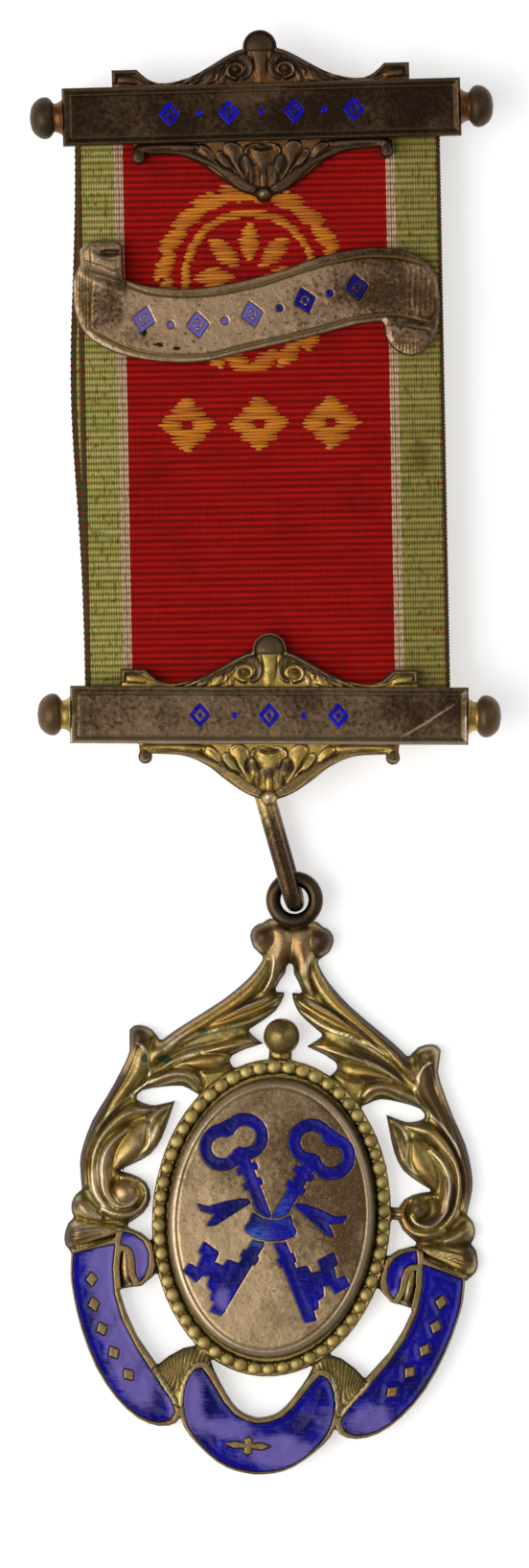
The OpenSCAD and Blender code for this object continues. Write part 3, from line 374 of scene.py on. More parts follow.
def joined(name, parts):
    """One object from several, all with their places in their meshes."""
    with bpy.context.temp_override(active_object=parts[0], selected_editable_objects=parts, selected_objects=parts):
        bpy.ops.object.join()
    parts[0].name = name
    return parts[0]


def lathe(name, profile, along, n, close=False):
    """A turned form. profile has rows of distance and radius; along(s, r, angle) gives the place in millimetres."""
    rows = len(profile)
    steps = np.arange(n) * 2 * math.pi / n
    points = np.array([along(s, r, a) for s, r in profile for a in steps])
    faces = [[i * n + k, i * n + (k + 1) % n, (i + 1) % rows * n + (k + 1) % n, (i + 1) % rows * n + k]
             for i in range(rows - (0 if close else 1)) for k in range(n)]
    return make_mesh(name, points, faces)


def give(piece, **values):
    """Gives a piece's points more attributes: each one number for all points, or a number for each."""
    for key, value in values.items():
        spread = np.broadcast_to(value, len(piece.data.vertices)).astype(np.float32)
        piece.data.attributes.new(key, "FLOAT", "POINT").data.foreach_set("value", spread)
    return piece


def finish_piece(piece, node, material):
    """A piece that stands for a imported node, with its finish."""
    piece.data.materials.append(material)
    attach(piece, "root")
    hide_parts(node)
    return piece


# Materials

def srgb(r, g, b):
    """A colour from its 0 to 255 display values."""
    def linear(v):
        v /= 255
        return v / 12.92 if v <= 0.04045 else ((v + 0.055) / 1.055) ** 2.4
    return (linear(r), linear(g), linear(b), 1.0)


class Finish:
    """A material under construction, with short names for its nodes. Patterns are measured in millimetres."""

    def __init__(self, name):
        self.material = bpy.data.materials.new(name)
        self.material.use_nodes = True
        self.nodes, self.links = self.material.node_tree.nodes, self.material.node_tree.links
        self.shader = self.nodes["Principled BSDF"]
        place = self.nodes.new("ShaderNodeTexCoord")
        self.mm = self.vector("SCALE", place.outputs["Object"], scale=1000)

    def put(self, socket, value):
        if isinstance(value, bpy.types.NodeSocket):
            self.links.new(value, socket)
        else:
            socket.default_value = value

    def vector(self, operation, a, b=None, scale=None):
        node = self.nodes.new("ShaderNodeVectorMath")
        node.operation = operation
        self.put(node.inputs[0], a)
        if b is not None:
            self.put(node.inputs[1], b)
        if scale is not None:
            node.inputs["Scale"].default_value = scale
        return node.outputs["Value" if operation == "LENGTH" else "Vector"]

    def math(self, operation, a, b=0.0, clamp=False):
        node = self.nodes.new("ShaderNodeMath")
        node.operation, node.use_clamp = operation, clamp
        self.put(node.inputs[0], a)
        self.put(node.inputs[1], b)
        return node.outputs[0]

    def add(self, a, b, clamp=False):
        return self.math("ADD", a, b, clamp)

    def times(self, a, b):
        return self.math("MULTIPLY", a, b)

    def centred(self, value, width):
        """A pattern from 0 to 1 moved to lie about 0, this wide."""
        return self.times(self.math("SUBTRACT", value, 0.5), width)

    def between(self, value, low, high):
        """0 below low, 1 above high and smooth between."""
        node = self.nodes.new("ShaderNodeMapRange")
        node.interpolation_type = "SMOOTHSTEP"
        self.put(node.inputs["Value"], value)
        node.inputs["From Min"].default_value, node.inputs["From Max"].default_value = low, high
        return node.outputs["Result"]

    def share(self, value, low, high, most):
        """0 below low, most above high and smooth between."""
        return self.times(self.between(value, low, high), most)

    def lines(self, at, pitch):
        """1 along evenly spaced lines and 0 between them."""
        return self.math("POWER", self.math("ABSOLUTE", self.math("COSINE", self.times(at, math.pi / pitch))), 3)

    def part(self, name):
        node = self.nodes.new("ShaderNodeAttribute")
        node.attribute_name = name
        return node.outputs["Fac"]

    def noise(self, size, detail=4.0, rough=0.55, stretch=(1, 1, 1), distortion=0.0, at=None):
        """Cloudy noise whose spots are about size across, in millimetres."""
        node = self.nodes.new("ShaderNodeTexNoise")
        self.put(node.inputs["Vector"], self.vector("MULTIPLY", at or self.mm, stretch))
        node.inputs["Scale"].default_value = 1 / size
        node.inputs["Detail"].default_value, node.inputs["Roughness"].default_value = detail, rough
        node.inputs["Distortion"].default_value = distortion
        return node.outputs["Fac"]

    def mix(self, factor, a, b):
        node = self.nodes.new("ShaderNodeMix")
        node.data_type = "RGBA"
        self.put(node.inputs[0], factor)
        self.put(node.inputs[6], a)
        self.put(node.inputs[7], b)
        return node.outputs[2]

    def over(self, colour, tint, value, low, high, most):
        """A colour with a tint laid over it: none of it where value is low, and this share at most."""
        return self.mix(self.share(value, low, high, most), colour, tint)

    def bump(self, height, distance, under=None):
        """A bump whose height of 1 is this many millimetres."""
        node = self.nodes.new("ShaderNodeBump")
        node.inputs["Distance"].default_value = distance * 0.001
        node.inputs["Strength"].default_value = 1.0
        self.put(node.inputs["Height"], height)
        if under is not None:
            self.put(node.inputs["Normal"], under)
        return node.outputs["Normal"]

    def done(self, **sockets):
        for name, value in sockets.items():
            self.put(self.shader.inputs[name.replace("_", " ")], value)
        return self.material


def cast_metal(name, hollow, body, worn_and_highlight, dark, burnt=srgb(86, 65, 46), spots=None, patina=0.5, roughness=0.42,
               gilt=(0.1, 0.4), rim=0.8, copper_tint=srgb(146, 98, 46), olive_tint=srgb(132, 132, 76)):
    """Worn cast metal: one colour in the hollows, another on the ridges, a pale colour on the high points and raised
    lines that is partly wear and partly painted highlight, grime in the grooves, and painted shade along the outline.
    """
    f = Finish(name)
    cavity, crest, line, edge = f.part("cavity"), f.part("crest"), f.part("line"), f.part("rim")
    cloud, fine = f.noise(2.4, 5), f.noise(0.45, 5, 0.65)
    ragged = f.centred(fine, 0.6)
    colour = f.mix(f.between(f.add(crest, ragged), *gilt), hollow, body)
    # The high points take a pale colour: partly wear, partly a painted highlight.
    colour = f.over(colour, worn_and_highlight, f.add(cavity, ragged), 0.1, 0.45, 0.5)
    colour = f.over(colour, copper_tint, f.noise(1.6, 5, 0.65), 0.48, 0.64, 0.5)
    colour = f.over(colour, olive_tint, f.noise(2.2, 3, 0.6), 0.5, 0.62, 0.45)
    colour = f.over(colour, srgb(204, 162, 78), f.add(f.part("gilded"), ragged), 0.15, 0.7, 0.7)
    brown = f.share(f.add(f.part("tone"), ragged), 0.15, 0.7, 0.9)
    colour = f.mix(brown, colour, burnt)
    speckle = f.noise(0.2, 3, 0.6)
    colour = f.over(colour, dark, speckle, 0.56, 0.7, 0.3)
    colour = f.over(colour, dark, f.noise(1.3, 6, 0.7), 0.53, 0.7, patina)
    # The raised lines take the same pale colour, partly a painted highlight.
    colour = f.over(colour, worn_and_highlight, f.add(line, ragged), 0.25, 0.8, 0.6)
    grime = f.add(f.math("MAXIMUM", f.times(cavity, -1.5), f.times(line, -0.9)), f.centred(cloud, 0.8))
    dirt_and_shade = f.share(grime, 0.18, 0.62, 0.8)
    # Painted shade along the outline, where the edge rolls away, joins the grime of the grooves.
    dirt_and_shade = f.math("MAXIMUM", dirt_and_shade, f.share(f.add(edge, ragged), 0.3, 0.8, rim))
    colour = f.mix(dirt_and_shade, colour, dark)
    if spots:
        green = f.add(f.part("green"), f.centred(f.noise(0.8, 4), 1.2))
        colour = f.over(colour, spots, green, 0.3, 0.6, 0.8)
    rough = f.add(f.times(fine, 0.3), roughness - 0.15)
    rough = f.add(rough, f.times(dirt_and_shade, 0.2), clamp=True)
    oxide = f.add(f.times(dirt_and_shade, 0.5), f.times(brown, 0.55), clamp=True)
    grain = f.bump(f.add(speckle, fine), 0.02)
    return f.done(Base_Color=colour, Roughness=rough, Metallic=f.math("SUBTRACT", 1.0, oxide),
                  Specular_IOR_Level=0.15, Normal=f.bump(cloud, 0.1, under=grain))


def flat_metal(name, clean, dull, dark, engraved, pits=0.6, tarnish=0.0, wear_and_highlight=srgb(200, 182, 152), grain=1.6):
    """A smooth tarnished face: clouds, pits, hair scratches and tone in its engraved lines, a pale edge that is partly
    wear and partly painted highlight, and painted shade along the outline.
    """
    f = Finish(name)
    cloud, fine, speckle = f.noise(4.5, 6, 0.62), f.noise(0.5, 5, 0.7), f.noise(0.24, 3, 0.6)
    level = f.add(f.part("tone"), f.centred(cloud, 1.5))
    level = f.add(level, f.centred(fine, grain))
    colour = f.mix(f.between(level, 0.0 - tarnish, 0.9 - tarnish), clean, dull)
    colour = f.over(colour, dark, fine, 0.54, 0.7, 0.38 * grain)
    colour = f.over(colour, clean, speckle, 0.54, 0.7, 0.3)
    hairs = f.noise(0.12, 2, 0.5, stretch=(0.12, 1.0, 1.0), distortion=0.6)
    cross = f.noise(0.12, 2, 0.5, stretch=(1.0, 0.14, 1.0), distortion=0.6)
    hair = f.math("MAXIMUM", f.between(hairs, 0.66, 0.76), f.between(cross, 0.68, 0.78))
    colour = f.mix(f.times(hair, 0.3), colour, clean)
    speck = f.share(f.noise(0.34, 3, 0.6), 0.65, 0.72, pits)
    speck = f.math("MAXIMUM", speck, f.between(f.add(f.part("pits"), f.times(speckle, 0.8)), 0.75, 0.95))
    colour = f.mix(speck, colour, dark)
    # A pale edge: partly wear, partly a painted highlight.
    colour = f.mix(f.times(f.part("edge"), 0.7), colour, wear_and_highlight)
    colour = f.mix(f.times(f.part("line"), 0.8), colour, engraved)
    # Painted shade along the outline.
    colour = f.mix(f.times(f.part("rim"), 0.8), colour, dark)
    rough = f.add(f.times(fine, 0.26), 0.25)
    rough = f.add(rough, f.times(speck, 0.25), clamp=True)
    marks = f.add(f.times(hair, -0.3), f.times(speck, -1.0))
    return f.done(Base_Color=colour, Roughness=rough, Metallic=0.93,
                  Normal=f.bump(marks, 0.03, under=f.bump(cloud, 0.18)))


def enamel(name, deep, bright, haze_and_highlight):
    """Glassy enamel, clouded from deep to bright, with a hazy lilac in given places that is partly wear and partly a
    painted reflection of the lamps, and with fine scratches and specks.
    """
    f = Finish(name)
    cloud, fine = f.noise(4.2, 3), f.noise(0.5, 4, 0.6)
    colour = f.mix(f.between(cloud, 0.35, 0.65), deep, bright)
    hairs = f.noise(0.16, 2, 0.5, stretch=(0.1, 1.0, 1.0), distortion=0.5)
    wear = f.add(f.math("SUBTRACT", f.noise(1.6, 5, 0.6), 0.5), f.centred(hairs, 0.5))
    # Hazy lilac where given: partly wear, partly a painted reflection of the lamps.
    rub_and_highlight = f.share(f.add(f.part("tone"), f.times(wear, 0.8)), 0.25, 0.75, 0.85)
    colour = f.mix(rub_and_highlight, colour, haze_and_highlight)
    pale = f.times(f.part("pale"), f.between(hairs, 0.35, 0.6))
    colour = f.mix(pale, colour, srgb(72, 116, 224))
    colour = f.over(colour, haze_and_highlight, hairs, 0.62, 0.74, 0.16)
    colour = f.over(colour, haze_and_highlight, f.noise(0.3, 2), 0.7, 0.76, 0.25)
    colour = f.over(colour, deep, fine, 0.58, 0.72, 0.3)
    rough = f.add(f.share(hairs, 0.5, 0.75, 0.15), f.times(rub_and_highlight, 0.3))
    rough = f.add(rough, 0.12, clamp=True)
    return f.done(Base_Color=colour, Roughness=rough, Specular_IOR_Level=0.3,
                  Normal=f.bump(cloud, 0.12, under=f.bump(fine, 0.015)))


TOP_CAST = cast_metal("top_bar_cast", srgb(124, 84, 50), srgb(98, 74, 54), srgb(146, 122, 96), srgb(24, 17, 12),
                      patina=0.5, roughness=0.42, burnt=srgb(72, 56, 42), copper_tint=srgb(114, 72, 38),
                      olive_tint=srgb(84, 70, 50))
TOP_FACE = flat_metal("top_bar_face", srgb(96, 74, 52), srgb(46, 31, 20), srgb(20, 13, 9), srgb(88, 70, 42),
                      tarnish=0.3, wear_and_highlight=srgb(132, 108, 80))
BOTTOM_CAST = cast_metal("bottom_bar_cast", srgb(192, 160, 86), srgb(190, 150, 90), srgb(224, 202, 160),
                         srgb(42, 29, 18), patina=0.35, gilt=(0.4, 1.0), burnt=srgb(84, 64, 50),
                         spots=srgb(106, 122, 76))
BOTTOM_FACE = flat_metal("bottom_bar_face", srgb(130, 106, 80), srgb(60, 42, 27), srgb(30, 20, 13), srgb(100, 86, 46),
                         tarnish=0.2)
BANNER_METAL = flat_metal("banner_metal", srgb(178, 146, 114), srgb(78, 55, 36), srgb(34, 24, 17), srgb(128, 102, 48),
                          pits=0.8, grain=1.7)
PLAQUE_METAL = flat_metal("plaque_metal", srgb(186, 158, 121), srgb(94, 72, 47), srgb(50, 36, 23), srgb(136, 114, 66),
                          pits=0.6, grain=0.9)
GILT_CAST = cast_metal("gilt_cast", srgb(172, 150, 86), srgb(164, 132, 94), srgb(226, 208, 180), srgb(44, 31, 19),
                       spots=srgb(40, 92, 70), patina=0.35, roughness=0.38, gilt=(0.5, 1.0), burnt=srgb(66, 44, 28))
GILT_RIM = cast_metal("gilt_rim", srgb(150, 124, 80), srgb(146, 122, 86), srgb(190, 168, 126), srgb(60, 44, 28),
                      patina=0.4, roughness=0.38, rim=0.2)
BEAD_METAL = cast_metal("bead_gilt", srgb(168, 136, 70), srgb(194, 172, 106), srgb(216, 196, 138), srgb(120, 88, 42),
                        patina=0.25, roughness=0.5, rim=0.3)
BAIL_METAL = cast_metal("bail_metal", srgb(70, 56, 40), srgb(74, 60, 46), srgb(150, 130, 96), srgb(24, 18, 12),
                        patina=0.55, roughness=0.34, copper_tint=srgb(100, 72, 40), olive_tint=srgb(74, 62, 44))
BLUE = enamel("royal_blue_enamel", srgb(5, 0, 92), srgb(10, 0, 150), srgb(118, 102, 182))
LOZENGE_BLUE = enamel("lozenge_enamel", srgb(10, 0, 150), srgb(16, 0, 205), srgb(60, 40, 190))
LINK_METAL = flat_metal("link_metal", srgb(170, 146, 92), srgb(70, 50, 34), srgb(28, 20, 14), srgb(60, 44, 28))
STEEL = flat_metal("pin_steel", srgb(140, 140, 142), srgb(104, 104, 106), srgb(40, 36, 34), srgb(60, 60, 60))


def shading_values(grid, z, field, wide=1.0, strength=1.6):
    """Attributes for cast metal: how far a point stands over its surroundings, its ridge's height, and the outline."""
    mean = blurred(z, max(2, round(wide / grid.pitch)), grid.inside)
    # rim marks the outline, where the metal is painted with shade.
    return {"cavity": np.clip((z - mean) * strength, -1, 1), "crest": field, "rim": np.clip(1 - grid.d / 0.22, 0, 1)}


# The pendant's openwork, right half. Panels: x, y, half width, height.
PANELS = [
    [[2.75, 27.0, 0.3, 0.7], [2.9, 26.0, 0.45, 0.9], [3.6, 24.8, 0.6, 1.0], [4.9, 23.3, 0.7, 1.05],
     [6.8, 21.8, 0.75, 1.05], [9.0, 20.1, 0.75, 1.05], [11.2, 18.5, 0.7, 1.0], [13.2, 16.8, 0.6, 0.9],
     [14.0, 15.6, 0.4, 0.6]],
    [[1.6, 30.0, 1.0, 1.2], [1.2, 29.0, 1.0, 1.25], [1.3, 28.0, 0.9, 1.25], [1.5, 27.0, 0.8, 1.2],
     [1.5, 26.0, 0.75, 1.15], [1.7, 25.0, 0.6, 1.0], [2.2, 24.2, 0.4, 0.8], [2.7, 23.6, 0.2, 0.5]],
    [[1.4, 22.7, 0.3, 0.5], [3.0, 21.9, 0.5, 0.8], [5.0, 21.0, 0.55, 0.9], [7.0, 20.1, 0.45, 0.85],
     [8.5, 19.4, 0.15, 0.5]],
    [[2.9, 18.3, 0.3, 0.5], [4.0, 18.2, 0.5, 0.75], [5.5, 17.7, 0.5, 0.8], [7.0, 17.2, 0.35, 0.7],
     [8.5, 16.6, 0.25, 0.6]],
    [[6.3, 16.2, 0.35, 0.5], [7.5, 16.0, 0.6, 0.8], [9.0, 15.8, 0.6, 0.85], [10.5, 15.4, 0.4, 0.7],
     [11.5, 15.0, 0.2, 0.5]],
    [[9.0, 13.3, 0.4, 0.7], [9.5, 14.0, 0.5, 0.95], [10.3, 14.35, 0.5, 1.0], [11.5, 14.3, 0.5, 1.0],
     [13.0, 13.7, 0.5, 1.0], [14.3, 12.7, 0.45, 0.9], [15.3, 11.6, 0.35, 0.7]],
    [[14.9, 17.2, 0.5, 0.8], [15.2, 16.2, 0.75, 0.95], [15.3, 15.0, 0.75, 0.95], [15.9, 13.6, 0.6, 0.9],
     [17.0, 12.0, 0.5, 0.85], [18.0, 10.4, 0.45, 0.8], [18.9, 8.8, 0.35, 0.7]],
    [[15.4, 18.3, 0.9, 1.2], [15.8, 17.3, 0.55, 1.2], [16.0, 16.2, 0.35, 1.1], [16.4, 15.0, 0.35, 1.1],
     [17.1, 13.5, 0.4, 1.1], [18.0, 11.8, 0.45, 1.1], [19.2, 9.0, 0.5, 1.1], [20.1, 6.5, 0.5, 1.1],
     [20.4, 4.5, 0.5, 1.1], [20.2, 2.3, 0.45, 1.1]],
    [[13.6, 10.7, 0.3, 0.7], [15.0, 10.4, 0.5, 0.95], [16.3, 9.8, 0.5, 1.0], [17.5, 8.7, 0.5, 1.0],
     [18.6, 7.3, 0.5, 1.0], [19.2, 5.8, 0.45, 1.0], [19.4, 4.3, 0.4, 1.0], [19.3, 2.8, 0.4, 1.0],
     [18.9, 1.5, 0.4, 0.9], [18.1, 0.4, 0.35, 0.8], [17.0, -0.3, 0.3, 0.7]],
    [[14.3, 8.5, 0.5, 0.6], [15.0, 7.0, 1.0, 0.9], [15.8, 5.8, 0.9, 0.9], [16.6, 4.6, 0.5, 0.7],
     [17.2, 3.4, 0.3, 0.5]],
    [[11.8, 10.3, 0.25, 0.6], [12.4, 9.2, 0.5, 0.9], [12.8, 8.0, 0.6, 1.0], [13.1, 7.0, 0.6, 1.0],
     [13.6, 6.1, 0.4, 0.8], [14.3, 5.4, 0.2, 0.5]],
    [[16.2, 8.2, 0.3, 0.7], [17.3, 7.1, 0.5, 1.0], [18.0, 5.9, 0.6, 1.15], [18.3, 4.5, 0.65, 1.2],
     [18.2, 3.0, 0.6, 1.2], [17.9, 1.7, 0.5, 1.1], [17.1, 0.7, 0.4, 1.0], [16.2, 0.2, 0.35, 0.9],
     [15.2, 0.4, 0.3, 0.8], [14.6, 1.2, 0.25, 0.7]],
    [[16.4, 3.3, 0.25, 0.6], [15.0, 3.35, 0.35, 0.8], [13.9, 2.9, 0.4, 0.9], [13.35, 1.8, 0.45, 1.0],
     [13.5, 0.7, 0.45, 1.0], [14.2, -0.3, 0.45, 1.0], [15.3, -0.75, 0.45, 1.0], [16.8, -0.6, 0.4, 0.9],
     [18.0, -0.2, 0.35, 0.8]],
    [[20.6, 0.1, 0.6, 1.0], [19.7, -0.6, 0.6, 1.0], [18.4, -1.2, 0.35, 0.8]],
    [[21.0, -3.3, 0.75, 1.1], [20.2, -3.0, 0.9, 1.2], [18.6, -2.7, 0.6, 1.0], [16.8, -2.4, 0.4, 0.8],
     [15.6, -2.2, 0.25, 0.6]],
]
# Thin raised edges of the openwork: x, y.
CREASES = [
    [[2.4, 28.2], [2.05, 27.2], [2.0, 26.3], [2.1, 25.4], [2.4, 24.5], [2.9, 23.6]],
    [[0.9, 23.35], [2.2, 22.95], [3.6, 22.3], [5.0, 21.65], [6.5, 20.8], [8.0, 19.9], [9.5, 19.0]],
    [[0.6, 22.7], [1.3, 21.9], [2.5, 21.1], [4.0, 20.3], [5.5, 19.75], [7.0, 19.3], [8.5, 18.85], [10.0, 18.2],
     [11.5, 17.4], [13.0, 16.0]],
    [[3.2, 18.1], [5.0, 17.8], [7.0, 17.4], [8.5, 17.05], [10.0, 16.5], [11.5, 15.7], [13.0, 14.8]],
    [[15.9, 17.4], [15.2, 17.1], [14.7, 16.6], [14.4, 15.9], [14.35, 15.2], [14.1, 14.4], [14.2, 13.6], [14.8, 12.8],
     [15.8, 11.9], [17.0, 10.9], [18.1, 9.7], [19.0, 8.3], [19.4, 7.2]],
    [[11.3, 11.2], [12.3, 10.8], [13.1, 10.2], [13.55, 9.4], [13.75, 8.3], [13.75, 7.2], [14.0, 6.3], [14.6, 5.5],
     [15.2, 5.0]],
    [[16.0, 8.1], [17.1, 7.3], [17.9, 6.2], [18.3, 5.2], [18.4, 4.0], [18.3, 3.0], [18.2, 2.0], [17.8, 1.1],
     [17.1, 0.35], [16.4, 0.1], [15.2, 0.4], [14.4, 1.2]],
]
# Thin grooves: x, y.
FURROWS = [
    [[2.45, 27.0], [2.25, 26.2], [2.35, 25.2], [2.7, 24.3], [3.3, 23.3]],
    [[3.3, 23.2], [5.0, 22.0], [7.0, 20.6], [9.0, 19.2], [11.0, 17.8], [12.8, 15.9]],
    [[1.2, 22.3], [2.5, 21.5], [4.0, 20.65], [5.5, 20.1], [7.0, 19.7], [8.3, 19.3]],
    [[1.5, 23.0], [3.2, 22.1], [5.0, 21.3], [6.8, 20.4], [8.2, 19.6]],
    [[6.5, 18.2], [8.5, 17.6], [10.3, 17.0], [12.0, 16.1], [13.3, 15.0]],
    [[5.6, 15.9], [6.3, 15.4], [7.2, 15.0], [8.3, 14.9], [9.5, 15.05]],
    [[6.3, 16.9], [8.0, 16.7], [9.5, 16.3], [11.0, 15.7], [12.3, 14.9]],
    [[8.6, 14.2], [9.3, 14.9], [10.5, 15.2], [12.0, 14.8], [13.4, 14.0]],
    [[13.9, 9.8], [14.0, 8.8], [14.0, 7.6], [14.2, 6.6], [14.9, 5.6]], [[14.6, 9.6], [16.0, 8.9], [17.2, 7.9]],
    [[17.6, 7.9], [18.5, 6.7], [18.95, 5.3], [19.0, 3.8], [18.8, 2.4], [18.2, 1.2], [17.2, 0.1]],
    [[16.4, 10.6], [17.9, 9.3], [19.1, 7.4], [19.75, 5.6], [19.9, 4.0], [19.7, 2.4]],
    [[16.6, 3.3], [17.2, 2.6], [17.3, 1.7], [16.8, 0.9]],
    [[14.3, 2.7], [13.95, 1.8], [14.2, 0.8], [15.0, 0.05], [16.2, -0.25]],
    [[21.0, -1.3], [19.5, -1.55], [17.5, -1.6], [15.6, -1.3]], [[15.5, -1.75], [18.0, -2.1], [21.2, -2.5]],
    [[15.6, -2.0], [18.2, -2.6], [21.4, -3.3]], [[15.9, -2.3], [18.6, -3.1], [20.6, -3.9]],
]
# Round bosses: x, y, radius.
BOSSES = [(3.2, 29.3, 1.6), (-2.8, 29.3, 1.6), (15.4, 2.05, 1.1), (-15.45, 1.65, 1.45)]
# Where the gilding is worn to brown: half width, strength, and rows of x, y.
STREAKS = [
    (0.55, 1.0, [[3.5, 26.4], [5.4, 23.9], [7.8, 21.8], [10.6, 19.5], [12.6, 17.9], [13.6, 15.4]]),
    (0.3, 1.0, [[1.5, 23.4], [3.8, 22.3], [6.1, 21.3], [8.6, 19.6], [10.2, 18.2]]),
    (0.5, 0.9, [[6.0, 19.2], [8.3, 18.0], [10.5, 16.9], [12.2, 15.6], [13.2, 14.6]]),
    (0.9, 1.0, [[15.2, 18.4], [15.2, 16.5], [15.4, 14.4], [16.7, 12.2], [17.8, 10.7], [18.9, 9.0], [20.2, 6.1],
                [20.5, 2.1]]),
    (0.6, 0.7, [[16.7, 6.2], [18.3, 4.8], [18.7, 3.1], [18.2, 1.6], [17.0, 0.8], [15.2, -0.3]]),
    (0.6, 1.3, [[-16.3, 14.2], [-17.7, 11.9], [-19.2, 8.6], [-20.2, 6.2], [-20.4, 3.8], [-19.9, 0.8]]),
    (0.45, 1.1, [[-3.8, 26.3], [-5.4, 24.4], [-7.2, 22.9], [-9.2, 21.3], [-11.2, 19.7], [-12.9, 17.7]]),
    (0.3, 0.9, [[-1.4, 23.3], [-3.6, 22.3], [-5.8, 21.2]]), (0.35, 0.9, [[-15.8, 18.2], [-14.6, 17.6], [-14.2, 16.4]]),
]
# Where the gilding is still bright.
GILDED = [
    (0.5, 1.0, [[1.9, 22.4], [3.6, 21.6], [5.3, 20.9], [7.0, 20.1], [8.4, 19.4]]),
    (0.35, 0.9, [[3.5, 24.8], [5.0, 23.0], [7.0, 21.5], [9.2, 19.9], [10.8, 18.5]]),
    (0.45, 0.8, [[3.4, 18.2], [5.2, 17.8], [7.2, 17.3]]), (0.6, 0.8, [[6.6, 16.1], [8.5, 15.8], [10.4, 15.4]]),
    (0.5, 1.0, [[-1.5, 22.4], [-3.2, 21.6], [-4.9, 20.9], [-6.6, 20.1], [-8.0, 19.4]]),
    (0.45, 1.0, [[-3.1, 25.1], [-4.6, 22.9], [-6.6, 21.3], [-8.8, 19.7], [-10.4, 18.3]]),
    (0.45, 0.8, [[-3.0, 18.2], [-4.8, 17.8], [-6.8, 17.3]]), (0.6, 0.9, [[-6.2, 16.1], [-8.1, 15.8], [-10.0, 15.4]]),
    (0.3, 1.0, [[-15.6, 17.0], [-16.2, 15.4], [-16.9, 13.7]]), (0.6, 0.4, [[-13.4, 9.8], [-14.2, 8.6], [-14.8, 7.6]]),
    (0.6, 0.4, [[14.4, 8.2], [15.0, 7.0], [15.6, 5.8]]),
    (0.4, 1.0, [[14.9, 3.4], [13.7, 2.2], [13.7, 0.8], [14.6, -0.5]]),
]
# The folded cloth at the top of each tray: x, y, half width, height.
FOLD = [[15.0, -4.6, 0.4, 0.9], [14.85, -6.2, 0.5, 1.1], [14.6, -7.8, 0.4, 0.9]]

# Places worn to brown, gone green, and rubbed bright, the bright ones partly a painted highlight on the left half: x,
# y, half width, half height, strength.
BROWNED = [[3.4, 29.3, 1.4, 1.4, 1.0], [-2.9, 29.5, 1.3, 1.3, 0.8], [-15.2, 18.0, 1.1, 1.7, 0.9],
           [20.9, -2.2, 0.9, 1.8, 0.8], [19, -0.6, 2, 0.6, 0.3], [-21, -3.2, 0.8, 1.4, 0.9],
           [-20.5, 0, 0.8, 1, 0.6], [15.4, 2.05, 1.0, 1.0, 0.6], [9, 15.3, 1.2, 0.4, 0.9],
           [17.5, -1.5, 3, 1.2, 0.25], [12.6, 8.6, 0.6, 2, 0.5], [-13.4, 10, 0.6, 1.5, 0.5]]
GREENED = [[-12.2, 15.8, 0.8, 0.4, 1], [-14.3, 15.7, 0.4, 0.5, 1], [-8.6, 19.1, 0.6, 0.4, 0.8],
           [-16.5, 14.6, 0.4, 0.6, 0.5]]
RUBBED_AND_HIGHLIGHT = [[-14.9, 1.8, 1.4, 1.4, 1.3], [-17.5, 4.5, 1.4, 2.5, 0.7], [-19, -2, 3, 1.6, 0.5], [-13.5, 8, 2, 3, 0.5],
          [-10, 17, 3, 2, 0.5]]
# The casting: how far its edge lies under the base height, its swell, and the weights of its panels and fine lines.
EDGE_LOW, SWELL, PANEL_RISE, CREASE_RISE, FURROW_DEPTH = 0.55, 0.7, 0.85, 0.14, 0.28
# The heights of the ring that the beads stand on, and of the metal beside the trays' enamel.
RING_TOP, TRAY_FLANK = 1.9, 2.3
# The top of the trays, the metal's width beside their enamel, and how far their rims reach from it.
TRAY_HEAD, TRAY_SIDE, RIM_REACH = -3.9, 0.55, 0.7
# The hatched fans: their top, the point that their lines run out from, and the lines to a radian.
FAN_TOP, FAN_CENTRE, FAN_LINES = -13.5, (8.6, -21), 90
# The beads' foot, their rise over it, and how much their sizes vary.
BEAD_FOOT, BEAD_RISE, BEAD_SPREAD = 1.95, 0.42, 0.05


def across_oval(grid, less=(0.0, 0.0)):
    """Under 1 inside the pendant's oval, or inside a smaller one."""
    return np.hypot(grid.x / (OVAL[0] - less[0]), grid.y / (OVAL[1] - less[1]))


